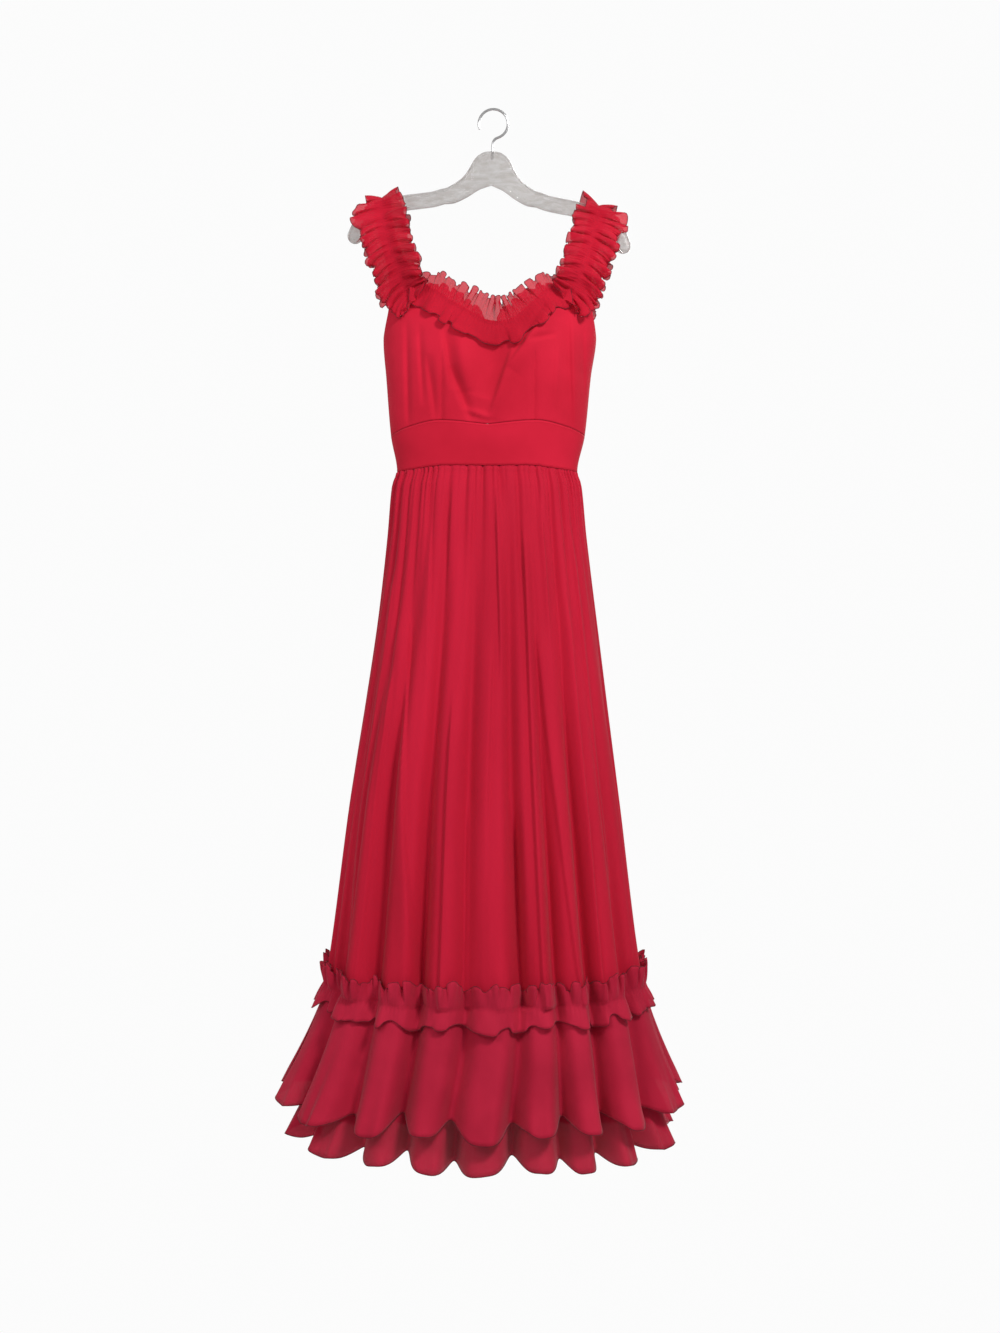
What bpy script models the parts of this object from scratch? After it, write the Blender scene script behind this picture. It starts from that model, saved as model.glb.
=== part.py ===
"""Full-length prom dress with a ruffled scoop neck and flounced hem, hung on a clear moulded hanger.

Metres, +Z up, the front of the dress towards -Y. The origin is where the hook bears on its rod.
Every cloth piece is a grid bent to the garment's shape and thickened into a wall by Solidify.
"""

import math

import bmesh
import bpy
import numpy as np


def table(columns, *rows):
    """A short table as one array for each named column."""
    return dict(zip(columns.split(), np.array(rows, float).T))


# Cloth walls and the clearances between pieces
WALL = 0.0012
SEAM_GAP = 0.0004
FLOUNCE_GAP = 0.0006
SIDE_GAP = 0.0004
LAID_ON = WALL + 0.0006

# The level sections of the body, from the strap bases down to the seam over the flounce
SECTION_POWER = 2.25
SECTIONS = table(
    "z       centre  half_width front  back",
    (-1.345, -0.011, 0.2420, 0.134, 0.122),
    (-1.269, -0.014, 0.2290, 0.126, 0.114),
    (-1.040, -0.014, 0.2010, 0.108, 0.098),
    (-0.884, -0.012, 0.1790, 0.095, 0.085),
    (-0.734, -0.010, 0.1590, 0.081, 0.071),
    (-0.640, -0.010, 0.1480, 0.069, 0.061),
    (-0.562, -0.010, 0.1400, 0.056, 0.050),
    (-0.543, -0.010, 0.1346, 0.050, 0.046),
    (-0.489, -0.009, 0.1447, 0.058, 0.049),
    (-0.400, -0.008, 0.1530, 0.070, 0.052),
    (-0.343, -0.006, 0.1590, 0.069, 0.052),
    (-0.290, -0.005, 0.1570, 0.058, 0.051),
    (-0.260, -0.005, 0.1540, 0.048, 0.049),
)

# Upper edge of the bodice, by place across: 0 is the centre, 1 the side seam
STRAP_INNER, STRAP_OUTER = 0.50, 0.79
FRONT_EDGE = table(
    "across reach  z",
    (0.00, 0.000, -0.3280),
    (0.09, 0.103, -0.3250),
    (0.18, 0.205, -0.3150),
    (0.36, 0.400, -0.2930),
    (0.50, 0.560, -0.2755),
    (0.79, 0.950, -0.2910),
    (0.85, 0.965, -0.3090),
    (0.92, 0.985, -0.3290),
    (1.00, 1.000, -0.3435),
)
BACK_EDGE = table(
    "across reach  z",
    (0.00, 0.000, -0.3160),
    (0.18, 0.205, -0.3070),
    (0.36, 0.410, -0.2920),
    (0.50, 0.590, -0.2750),
    (0.79, 0.950, -0.2880),
    (0.85, 0.965, -0.3060),
    (0.92, 0.985, -0.3270),
    (1.00, 1.000, -0.3435),
)
NECK_SHIFT = 0.080  # the neckline's lowest point lies this share of the half width to the wearer's left

# Seams of the shaped midriff band, and the seam over the flounce
MIDRIFF_TOP = table("reach z", (0.0, -0.4775), (0.5, -0.4710), (0.8, -0.4790), (1.0, -0.4890))
WAIST = table("reach z", (0.0, -0.5375), (0.45, -0.5365), (0.75, -0.5400), (1.0, -0.5435))
BACK_MIDRIFF_Z, BACK_WAIST_Z = -0.4890, -0.5435
FLOUNCE_SEAM = table("reach z", (0.0, -1.3230), (0.6, -1.3190), (0.9, -1.3090), (1.0, -1.2970))

# Bust shaping: two cups, a dart under each, and the creases where the empty cups fold
CUP_X, CUP_Z, CUP_SPREAD, CUP_LIFT = 0.068, -0.372, 0.042, 0.007
RELIEF_NEAR = 0.009  # what lies on the bodice clears the highest relief within this distance
DART_TIP_Z, DART_WIDTH, DART_DEPTH = -0.366, 0.005, 0.0022
CREASES = table(
    "x0     z0      x1      z1      width  lift",
    (0.082, -0.292, 0.006, -0.432, 0.012, 0.0050),
    (0.060, -0.296, -0.016, -0.430, 0.008, -0.0035),
    (-0.082, -0.330, -0.040, -0.455, 0.009, -0.0040),
    (-0.066, -0.330, -0.022, -0.445, 0.011, 0.0035),
    (-0.118, -0.330, -0.092, -0.460, 0.008, 0.0025),
)

# Folds of the skirt at the flounce seam and of the flounce at its hem: place across and lift in mm
FRONT_FOLDS = table(
    "seam    seam_mm hem     hem_mm",
    (-1.000, 0.0, -1.000, 0.0),
    (-0.905, -6.0, -0.915, -12.0),
    (-0.800, 7.0, -0.815, 19.0),
    (-0.690, -6.0, -0.690, -20.0),
    (-0.575, 13.0, -0.560, 27.0),
    (-0.440, -7.0, -0.415, -24.0),
    (-0.330, 14.0, -0.320, 26.0),
    (-0.232, -20.0, -0.230, -27.0),
    (-0.140, 15.0, -0.148, 24.0),
    (-0.055, -11.0, -0.072, -21.0),
    (0.025, 15.0, 0.005, 26.0),
    (0.110, -12.0, 0.082, -22.0),
    (0.185, 11.0, 0.165, 26.0),
    (0.258, -9.0, 0.243, -20.0),
    (0.330, 13.0, 0.320, 24.0),
    (0.425, -19.0, 0.402, -25.0),
    (0.530, 13.0, 0.490, 27.0),
    (0.650, -6.0, 0.600, -22.0),
    (0.760, 8.0, 0.740, 20.0),
    (0.895, -6.0, 0.895, -12.0),
    (1.000, 0.0, 1.000, 0.0),
)
BACK_FOLDS = table(
    "seam    seam_mm hem     hem_mm",
    (-1.000, 0.0, -1.000, 0.0),
    (-0.910, -6.0, -0.920, -12.0),
    (-0.790, 12.0, -0.800, 22.0),
    (-0.650, -12.0, -0.670, -19.0),
    (-0.520, 14.0, -0.540, 25.0),
    (-0.400, -14.0, -0.410, -21.0),
    (-0.260, 13.0, -0.270, 24.0),
    (-0.130, -10.0, -0.130, -17.0),
    (0.000, 8.0, 0.010, 20.0),
    (0.110, -10.0, 0.130, -17.0),
    (0.240, 14.0, 0.250, 25.0),
    (0.370, -13.0, 0.390, -19.0),
    (0.510, 14.0, 0.530, 24.0),
    (0.660, -14.0, 0.670, -20.0),
    (0.800, 11.0, 0.810, 22.0),
    (0.920, -6.0, 0.920, -12.0),
    (1.000, 0.0, 1.000, 0.0),
)
HEM_DROP = 0.55  # the hem dips below its ridges and rises in its valleys by this share of the fold
FOLD_FULLNESS = 1.3  # above 1, ridges are broader than the valleys between them

# Gathers at the waist seam
SKIRT_COLUMNS = 64
SKIRT_ROWS = (0.0, 0.04, 0.11, 0.24, 0.44, 0.70, 1.0)
GATHERS = 18
GATHER_LIFT = 0.0026
GATHER_REACH = 0.42
BODICE_BACK_ROWS = (0.0, 0.18, 0.36, 0.54, 0.70, 0.86, 1.0)
MIDRIFF_ROWS = (0.0, 0.34, 0.67, 1.0)

# Lining: how far inside the skirt it hangs, from the waist to its hem
LINING_IN_TOP, LINING_IN, LINING_IN_HEM = 0.0031, 0.0062, 0.0340
LINING_ROWS = (1.0, 0.60, 0.22, 0.07, 0.02, 0.0)
LINING_UP = 0.0080  # its upper edge is caught inside the midriff band

# The two flounces: hem sections and cut depths
FLOUNCE_HEM = {"centre": -0.020, "half_width": 0.293, "front": 0.168, "back": 0.152}
UNDER_HEM = {"centre": -0.018, "half_width": 0.2785, "front": 0.152, "back": 0.136}
FLOUNCE_ROWS, UNDER_ROWS = (1.0, 0.66, 0.32, 0.0), (1.0, 0.55, 0.0)
UNDER_COLUMNS = 56
FLOUNCE_DEPTH = 0.173
UNDER_DEPTH = 0.231

# Ruffles: half widths of the strips, lifts of their free edges and numbers of waves
HEADING_HALF, HEADING_LIFT, HEADING_WAVE = 0.029, 0.0085, 0.0040
HEADING_CLEAR = 0.0018
HEADING_WAVES_FRONT, HEADING_WAVES_BACK = 21, 17
NECK_HALF, NECK_LIFT, NECK_WAVE = 0.031, 0.0085, 0.0042
NECK_END, NECK_BACK_END = 0.49, 0.05  # where the neck ruffles end, and stop short of the zip
NECK_SPAN = 0.13  # the neckline's direction is taken over this much of the edge to either side
NECK_STITCH = 0.005  # the stitched line lies this far below the neckline
NECK_WAVES_FRONT, NECK_WAVES_BACK = 14, 6
STRAP_RUFFLE_HALF, STRAP_RUFFLE_LIFT, STRAP_RUFFLE_WAVE = 0.034, 0.0120, 0.0055
STRAP_RUFFLE_WAVES = 13
STRAP_RUFFLE_OVER = 0.0022  # further off the strap where it bends over the arm
STRAP_RUFFLE_PAST = 0.010  # the strap ruffles run on this far over the bodice

# Straps: the route of the centreline up from the bodice, then over the hanger's arm
STRAP_WIDTH = 0.026
STRAP_CENTRE = -0.0055
STRAP_ROUTE = table(
    "out     lean    z",
    (0.1353, 0.0400, -0.2464),
    (0.1477, 0.0300, -0.2118),
    (0.1573, 0.0180, -0.1750),
)
STRAP_OVER_OUT = 0.1612
STRAP_OVER_RADIUS = 0.0057
STRAP_SEAM_GAP = 0.0009

# Centre-back zip
BACK_OPENING = 0.0003  # half the slit between the back panels
ZIP_TOP_Z, ZIP_END_Z = -0.3185, -0.655
TAPE_WIDTH, TAPE_THICK = 0.011, 0.0008
TAPE_LEAN = 0.0003  # a tape's outer edge lies this much deeper than its inner one
SLIDER = {"x": 0.0056, "y": 0.0016, "z": 0.0095, "below_pin": 0.0010}
LUG = {"x": 0.0010, "y": 0.0032, "z": 0.0026, "rooted": 0.0010, "in": 0.0006}
PIN_RADIUS = 0.0005
PULL = {"eye": 0.0013, "hole": 0.0008, "neck": 0.0022, "width": 0.0050, "length": 0.0230, "thick": 0.0010}
PULL_AXIS_Z = ZIP_TOP_Z - 0.0030

# Hanger: half outline of the hub, the arm's centreline and its size
ARM_HALF_HEIGHT = 0.0115
HANGER_HALF_THICK = 0.0045
HANGER_ROUNDING = 0.0040
HANGER_TILT = math.radians(2.1)
HUB_UPPER = table(
    "x      z",
    (0.0000, -0.0615),
    (0.0100, -0.0625),
    (0.0190, -0.0670),
    (0.0265, -0.0745),
    (0.0320, -0.0850),
    (0.0400, -0.0985),
    (0.0510, -0.1090),
    (0.0680, -0.1190),
)
HUB_LOWER = table("x z", (0.0580, -0.1420), (0.0360, -0.1320), (0.0180, -0.1200), (0.0000, -0.1125))
ARM = table(
    "x      z",
    (0.0640, -0.1290),
    (0.0860, -0.1365),
    (0.1060, -0.1400),
    (0.1260, -0.1432),
    (0.1500, -0.1500),
    (0.1700, -0.1590),
    (0.1860, -0.1710),
    (0.1970, -0.1860),
    (0.2010, -0.1960),
)
TIP_POINTS = 5

# Wire hook
WIRE_RADIUS = 0.0019
HOOK_INNER_RADIUS = 0.0200
HOOK_START, HOOK_END, HOOK_STEPS = -68.0, 205.0, 20
STEM_FOOT_Z = -0.0740
SOCKET_RADIUS = 0.0023
SOCKET_LENGTH = 0.0400


def smooth(x, xs, ys):
    """A monotone cubic through a short table, held level past its ends."""
    order = np.argsort(xs)
    xs, ys = np.asarray(xs, float)[order], np.asarray(ys, float)[order]
    steps = np.diff(xs)
    slopes = np.diff(ys) / steps
    tangents = np.concatenate([slopes[:1], np.zeros(len(xs) - 2), slopes[-1:]])
    same_way = slopes[:-1] * slopes[1:] > 0
    total = np.where(same_way, slopes[:-1] + slopes[1:], 1.0)
    tangents[1:-1] = np.where(same_way, 2 * slopes[:-1] * slopes[1:] / total, 0.0)
    x = np.clip(x, xs[0], xs[-1])
    i = np.clip(np.searchsorted(xs, x, side="right") - 1, 0, len(steps) - 1)
    f = (x - xs[i]) / steps[i]
    start = ys[i] * (1 + 2 * f) * (1 - f) ** 2 + tangents[i] * steps[i] * f * (1 - f) ** 2
    return start + ys[i + 1] * f**2 * (3 - 2 * f) + tangents[i + 1] * steps[i] * f**2 * (f - 1)


def waved(x, xs, ys):
    """Soft waves through a table: half a cosine between neighbouring rows, fuller on the ridges."""
    i = np.clip(np.searchsorted(xs, x, side="right") - 1, 0, len(xs) - 2)
    f = np.clip((x - xs[i]) / (xs[i + 1] - xs[i]), 0, 1)
    f = np.where(ys[i] > ys[i + 1], f**FOLD_FULLNESS, 1 - (1 - f) ** FOLD_FULLNESS)
    return ys[i] + (ys[i + 1] - ys[i]) * (1 - np.cos(math.pi * f)) / 2


def reach_of(across):
    """Share of the half width reached at a place across, so that columns are even round the section."""
    return np.sign(across) * np.sin(np.abs(across) * math.pi / 2) ** (2 / SECTION_POWER)


def section_at(z):
    return {name: smooth(z, SECTIONS["z"], SECTIONS[name]) for name in ("centre", "half_width", "front", "back")}


def plan_point(side, reach, section, lift=0.0):
    """Plan position on a section, moved out by lift along its normal. side is -1 in front and 1 behind."""
    depth = section["front"] if side < 0 else section["back"]
    turn = (1 - np.minimum(np.abs(reach), 1) ** SECTION_POWER) ** (1 / SECTION_POWER)
    normal_x = np.sign(reach) * np.abs(reach) ** (SECTION_POWER - 1) / section["half_width"]
    normal_y = side * turn ** (SECTION_POWER - 1) / depth
    size = np.hypot(normal_x, normal_y)
    x = section["centre"] + reach * section["half_width"] + lift * normal_x / size
    y = side * (depth * turn + SIDE_GAP) + lift * normal_y / size
    return x, y


def front_relief(x, z):
    """How far the bodice front stands out from its plain section: cups, darts and creases."""
    from_centre = x - section_at(z)["centre"]
    cup = np.exp(-(((np.abs(from_centre) - CUP_X) ** 2 + (z - CUP_Z) ** 2) / CUP_SPREAD**2))
    dart = np.exp(-(((np.abs(from_centre) - CUP_X) / DART_WIDTH) ** 2))
    below_tip = np.clip((DART_TIP_Z - z) / 0.02, 0, 1)
    relief = CUP_LIFT * cup - DART_DEPTH * dart * below_tip
    for row in range(len(CREASES["x0"])):
        x0, z0, x1, z1, width, lift = (CREASES[name][row] for name in ("x0", "z0", "x1", "z1", "width", "lift"))
        run = math.hypot(x1 - x0, z1 - z0)
        along = ((x - x0) * (x1 - x0) + (z - z0) * (z1 - z0)) / run**2
        off = ((x - x0) * (z1 - z0) - (z - z0) * (x1 - x0)) / run
        fade = np.clip(np.sin(np.clip(along, 0, 1) * math.pi), 0, 1) ** 0.7
        relief = relief + lift * fade * np.exp(-((off / width) ** 2))
    top_fade = np.clip((z - MIDRIFF_TOP["z"].min()) / 0.02, 0, 1)
    return relief * top_fade


def bodice_point(side, across, up):
    """A point of the bodice: across runs over the panel, up from the midriff seam (0) to the upper edge (1)."""
    edge = FRONT_EDGE if side < 0 else BACK_EDGE
    place = np.abs(across)
    low_reach = reach_of(across)
    high_reach = np.sign(across) * smooth(place, edge["across"], edge["reach"])
    if side < 0:
        high_reach = high_reach + NECK_SHIFT * (1 - np.clip(place / STRAP_INNER, 0, 1) ** 2) ** 2
    low_z = smooth(np.abs(low_reach), MIDRIFF_TOP["reach"], MIDRIFF_TOP["z"]) if side < 0 else BACK_MIDRIFF_Z
    high_z = smooth(place, edge["across"], edge["z"])
    z = low_z + SEAM_GAP + up * (high_z - low_z - SEAM_GAP)
    reach = low_reach + up * (high_reach - low_reach)
    x, y = plan_point(side, reach, section_at(z))
    if side < 0:
        y = y - front_relief(x, z)
    return np.stack([x, y, z], axis=-1)


def bodice_y(side, x, z):
    """How far out the bodice reaches at a place seen from the front, also just past its edges."""
    section = section_at(z)
    reach = (x - section["centre"]) / section["half_width"]
    y = plan_point(side, np.clip(reach, -0.995, 0.995), section)[1]
    if side > 0:
        return y
    near = (-RELIEF_NEAR, 0.0, RELIEF_NEAR)
    return y - np.max([front_relief(x + dx, z + dz) for dx in near for dz in near], axis=0)


def gather_lift(across, side):
    """Unevenly spaced gathers along the waist seam, left out beside the zip."""
    wander = 0.5 * np.sin(7.3 * across + 1.0 + side) + 0.4 * np.sin(12.7 * across)
    lift = np.sin(math.pi * GATHERS * (across + 1) + wander) * (0.8 + 0.2 * np.sin(5.1 * across))
    if side > 0:
        lift = lift * np.clip((np.abs(across) - 0.09) / 0.06, 0, 1)
    return lift * np.clip((1 - np.abs(across)) / 0.03, 0, 1)


def fold_at(side, across, towards_hem):
    """Lift of the big folds, from the flounce seam (0) to the hem (1)."""
    folds = FRONT_FOLDS if side < 0 else BACK_FOLDS
    places = folds["seam"] + towards_hem * (folds["hem"] - folds["seam"])
    lifts = (folds["seam_mm"] + towards_hem * (folds["hem_mm"] - folds["seam_mm"])) / 1000
    return waved(across, places, lifts)


def waist_z(side, across):
    if side > 0:
        return np.full_like(across, BACK_WAIST_Z)
    return smooth(np.abs(reach_of(across)), WAIST["reach"], WAIST["z"])


def seam_z(across):
    return smooth(np.abs(reach_of(across)), FLOUNCE_SEAM["reach"], FLOUNCE_SEAM["z"])


def midriff_point(side, across, up):
    """A point of the shaped band between the skirt (up 0) and the bodice (1)."""
    reach = reach_of(across)
    top = smooth(np.abs(reach), MIDRIFF_TOP["reach"], MIDRIFF_TOP["z"]) if side < 0 else BACK_MIDRIFF_Z
    low = waist_z(side, across)
    z = low + up * (top - low)
    x, y = plan_point(side, reach, section_at(z))
    return np.stack([x, y, z], axis=-1)


def skirt_point(side, across, down):
    """A point of the skirt, from the waist seam (down 0) to the flounce seam (1)."""
    top = waist_z(side, across) - SEAM_GAP
    z = top + down * (seam_z(across) - top)
    ramp = np.clip(down, 0, 1) ** 1.15
    if side > 0:
        by_zip = np.clip((np.abs(across) - 0.09) / 0.06, 0, 1)
        low = np.clip((ZIP_END_Z - z) / 0.15, 0, 1)
        ramp = ramp * (by_zip + (1 - by_zip) * low)
    fine = np.clip(1 - down / GATHER_REACH, 0, 1) ** 1.6 * (0.55 + 0.45 * np.clip(down / 0.03, 0, 1))
    lift = fold_at(side, across, 0.0) * ramp + GATHER_LIFT * fine * gather_lift(across, side)
    x, y = plan_point(side, reach_of(across), section_at(z), lift)
    return np.stack([x, y, z], axis=-1)


def lining_point(side, across, down):
    """A point of the plain lining, which hangs inside the skirt without folds."""
    top = waist_z(side, across) + LINING_UP
    z = top + down * (seam_z(across) - top)
    inside = LINING_IN_TOP + np.clip((waist_z(side, across) - z) / 0.03, 0, 1) * (LINING_IN - LINING_IN_TOP)
    inside = inside + down * (LINING_IN_HEM - LINING_IN)
    x, y = plan_point(side, reach_of(across), section_at(z), -inside)
    return np.stack([x, y, z], axis=-1)


def flounce_point(side, across, down, under=False):
    """A point of a flounce, from its seam (down 0) to its hem (1). Its cut depth is kept as it flares."""
    hem, depth = (UNDER_HEM, UNDER_DEPTH) if under else (FLOUNCE_HEM, FLOUNCE_DEPTH)
    top_z = seam_z(across) - FLOUNCE_GAP
    lift = -LINING_IN_HEM if under else fold_at(side, across, 0.0)
    seam_x, seam_y = plan_point(side, reach_of(across), section_at(top_z), lift)
    lift = fold_at(side, across, min(1.15 * down, 1.0))
    hem_x, hem_y = plan_point(side, reach_of(across), hem, lift)
    flare = down**1.15
    x, y = seam_x + flare * (hem_x - seam_x), seam_y + flare * (hem_y - seam_y)
    spread = np.hypot(x - seam_x, y - seam_y)
    z = top_z - np.sqrt(np.maximum((depth * down) ** 2 - spread**2, 0)) - HEM_DROP * lift * down**2
    return np.stack([x, y, z], axis=-1)


def grid_of(point, side, rows, columns, start=-1.0, end=1.0, **more):
    """Rows of points from a point function, one array of shape rows, columns, 3."""
    across = np.linspace(start, end, columns + 1)
    return np.array([point(side, across, row, **more) for row in rows])


def lay_wave(turn, phase):
    """One soft wave, a little uneven from turn to turn."""
    return np.sin(turn + phase) * (0.82 + 0.18 * np.sin(0.37 * turn + 2 * phase))


def plain_outward(side, across, section):
    """Outward directions of the section without its folds."""
    near = np.stack(plan_point(side, reach_of(across), section), axis=-1)
    far = np.stack(plan_point(side, reach_of(across), section, 1.0), axis=-1)
    return far - near


def heading_points(side, waves):
    """The ruffle over the flounce seam: lower edge, stitched line and upper edge, moved out from the cloth."""
    fine = np.linspace(-1, 1, 4 * waves + 1)
    coarse = np.linspace(-1, 1, SKIRT_COLUMNS + 1)
    turn = math.pi * waves * (fine + 1)
    out = plain_outward(side, fine, section_at(seam_z(fine)))
    seam = skirt_point(side, coarse, 1.0)
    on_skirt = skirt_point(side, coarse, SKIRT_ROWS[-2])
    on_flounce = flounce_point(side, coarse, FLOUNCE_ROWS[-2])
    rows = []
    for share, other in ((-1.0, on_flounce), (0.0, seam), (1.0, on_skirt)):
        apart = np.linalg.norm(other - seam, axis=1).mean()
        base = seam if share == 0 else seam + (other - seam) * HEADING_HALF / apart
        base = np.stack([np.interp(fine, coarse, base[:, k]) for k in range(3)], axis=-1)
        run = np.gradient(base[:, :2], axis=0)
        steep = np.abs(run[:, 0] * out[:, 1] - run[:, 1] * out[:, 0]) / np.linalg.norm(run, axis=1)
        lift = LAID_ON / np.clip(steep, 0.5, 1) + HEADING_CLEAR
        ends = np.clip((1 - np.abs(fine)) / 0.03, 0.1, 1)
        lift = lift + abs(share) * ends * (HEADING_LIFT + HEADING_WAVE * lay_wave(turn, 1.6 * share))
        base[:, :2] += out * lift[:, None]
        rows.append(base)
    return np.array(rows)


def neck_points(side, waves, start, end):
    """The ruffle along the neckline: lower edge, stitched line and free upper edge."""
    columns = 4 * waves
    across = np.linspace(start, end, columns + 1)
    edge = bodice_point(side, across, 1.0)
    run = bodice_point(side, across + NECK_SPAN, 1.0) - bodice_point(side, across - NECK_SPAN, 1.0)
    run = run[:, [0, 2]]
    down = np.stack([run[:, 1], -run[:, 0]], axis=-1) / np.linalg.norm(run, axis=1, keepdims=True)
    turn = 2 * math.pi * waves * np.linspace(0, 1, columns + 1)
    taper = np.clip((STRAP_INNER - np.abs(across)) / 0.12, 0.25, 1)
    rows = []
    for share in (-1.0, 0.0, 1.0):
        away = NECK_STITCH - share * NECK_HALF * (0.45 + 0.55 * taper)
        place = edge[:, [0, 2]] + down * away[:, None]
        on_cloth = edge[:, [0, 2]] + down * np.maximum(away, 0.001)[:, None]
        lift = LAID_ON + abs(share) * taper * (NECK_LIFT + NECK_WAVE * lay_wave(turn, 1.9 * share))
        y = bodice_y(side, on_cloth[:, 0], on_cloth[:, 1]) + side * lift
        rows.append(np.stack([place[:, 0], y, place[:, 1]], axis=-1))
    return np.array(rows)


def tilted(x, z):
    """A point of the upright hanger, turned about the hook's bearing point."""
    c, s = math.cos(HANGER_TILT), math.sin(HANGER_TILT)
    return x * c + z * s, z * c - x * s


def arm_edges():
    """Upper and lower edges of one upright arm, either side of its centreline, and the centreline."""
    count = 12
    t = np.linspace(0, 1, len(ARM["x"]))
    fine = np.linspace(0, 1, count)
    line = np.stack([smooth(fine, t, ARM["x"]), smooth(fine, t, ARM["z"])], axis=-1)
    run = np.gradient(line, axis=0)
    normal = np.stack([-run[:, 1], run[:, 0]], axis=-1) / np.linalg.norm(run, axis=1, keepdims=True)
    return line + normal * ARM_HALF_HEIGHT, line - normal * ARM_HALF_HEIGHT, line


def arm_top(x, hand):
    """Height of the tilted arm's upper edge at x. hand is -1 for the arm at -X and 1 for the other."""
    upper = arm_edges()[0]
    edge_x, edge_z = tilted(hand * upper[:, 0], upper[:, 1])
    order = np.argsort(edge_x)
    return np.interp(x, edge_x[order], edge_z[order])


def bodice_edge_centre(side, hand, down=0.0):
    """The middle of a strap's base, or a point that far down the bodice from it."""
    across = np.array([hand * (STRAP_INNER + STRAP_OUTER) / 2])
    point = bodice_point(side, across, 1.0)[0]
    if down:
        point = point + np.array([-hand * 0.35 * down, 0, -down])
        point[1] = bodice_y(side, point[0], point[2])
    return point


def strap_line(hand):
    """Centreline of a strap, front base to back base, over the arm."""
    over_x = STRAP_CENTRE + hand * STRAP_OVER_OUT
    over_z = arm_top(over_x, hand) - HANGER_HALF_THICK
    rise = [
        (STRAP_CENTRE + hand * out, lean, z)
        for out, lean, z in zip(STRAP_ROUTE["out"], STRAP_ROUTE["lean"], STRAP_ROUTE["z"])
    ]
    rise.append((STRAP_CENTRE + hand * (STRAP_OVER_OUT - 0.0006), 0.0082, over_z - 0.0100))
    front = [bodice_edge_centre(-1, hand)] + [np.array([x, -lean, z]) for x, lean, z in rise]
    back = [np.array([x, lean, z]) for x, lean, z in reversed(rise)] + [bodice_edge_centre(1, hand)]
    over = [
        np.array([over_x, -STRAP_OVER_RADIUS * math.cos(a), over_z + STRAP_OVER_RADIUS * math.sin(a)])
        for a in np.radians(np.linspace(0, 180, 7))
    ]
    return np.array(front + over + back)


def strap_frame(line, hand):
    """Sideways and outward directions along a strap's centreline.

    At its bases the strap lies along the bodice's edge, and at the top along the hanger's arm.
    """
    run = np.gradient(line, axis=0)
    run = run / np.linalg.norm(run, axis=1, keepdims=True)
    over_x = STRAP_CENTRE + hand * STRAP_OVER_OUT
    arm = np.array([0.008, 0, arm_top(over_x + 0.004, hand) - arm_top(over_x - 0.004, hand)]) * hand
    side = np.zeros_like(line)
    share = np.clip((line[:, 2] - line[0, 2]) / (line[:, 2].max() - line[0, 2]), 0, 1) ** 0.7
    for panel in (-1, 1):
        inner, outer = (bodice_point(panel, hand * np.array([a]), 1.0)[0] for a in (STRAP_INNER, STRAP_OUTER))
        base = (outer - inner) / np.linalg.norm(outer - inner)
        blend = base * (1 - share[:, None]) + arm / np.linalg.norm(arm) * share[:, None]
        side = np.where(line[:, 1:2] * panel > 0, blend, side)
    side = np.where(line[:, 1:2] == 0, arm, side)
    side = side - run * np.sum(side * run, axis=1, keepdims=True)
    side = side / np.linalg.norm(side, axis=1, keepdims=True)
    out = hand * np.cross(side, run)
    return side, out


def strap_points(hand):
    """The strap band. Its ends take the shape of the bodice's upper edge, 0.4 mm clear of it."""
    line = strap_line(hand)
    side, _ = strap_frame(line, hand)
    columns = np.linspace(-1, 1, 5)
    grid = line[:, None] + side[:, None] * (columns * STRAP_WIDTH / 2)[None, :, None]
    across = hand * (STRAP_INNER + (columns + 1) / 2 * (STRAP_OUTER - STRAP_INNER))
    for row, panel in ((0, -1), (len(line) - 1, 1)):
        edge = bodice_point(panel, across, 1.0) + np.array([0, 0, STRAP_SEAM_GAP])
        near = row + 1 if row == 0 else row - 1
        grid[near] = 0.75 * grid[near] + 0.25 * (edge + line[near] - edge[2])
        grid[row] = edge
    return grid


def strap_ruffle_points(hand):
    """The ruffle along a strap: inner edge, stitched line and outer edge, moved out from the strap."""
    line = strap_line(hand)
    ends = [bodice_edge_centre(panel, hand, STRAP_RUFFLE_PAST) for panel in (-1, 1)]
    line = np.concatenate([ends[:1], line, ends[1:]])
    along = np.concatenate([[0], np.cumsum(np.linalg.norm(np.diff(line, axis=0), axis=1))])
    place = np.linspace(0, along[-1], 4 * STRAP_RUFFLE_WAVES + 1)
    side, out = strap_frame(line, hand)
    line, side, out = (
        np.stack([smooth(place, along, values[:, k]) for k in range(3)], axis=-1) for values in (line, side, out)
    )
    turn = 2 * math.pi * STRAP_RUFFLE_WAVES * place / along[-1]
    fade = np.clip(np.minimum(place, along[-1] - place) / 0.05, 0, 1)
    over = np.exp(-(((place - along[-1] / 2) / 0.018) ** 2))
    rows = []
    for share in (-1.0, 0.0, 1.0):
        half = STRAP_RUFFLE_HALF * (0.85 + 0.15 * fade)
        flare = STRAP_RUFFLE_LIFT + STRAP_RUFFLE_WAVE * lay_wave(turn, 1.3 * share)
        lift = LAID_ON + over * STRAP_RUFFLE_OVER + abs(share) * flare * (1 - 0.55 * over)
        rows.append(line + side * (share * half)[:, None] + out * lift[:, None])
    return np.array(rows)


def back_profile():
    """Heights and depths of the back panels along the centre back, upwards."""
    rows = [skirt_point(1, np.zeros(1), row)[0] for row in SKIRT_ROWS[::-1]]
    rows += [midriff_point(1, np.zeros(1), row)[0] for row in MIDRIFF_ROWS]
    rows += [bodice_point(1, np.zeros(1), row)[0] for row in BODICE_BACK_ROWS]
    return np.array(rows)[:, 2], np.array(rows)[:, 1]


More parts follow.
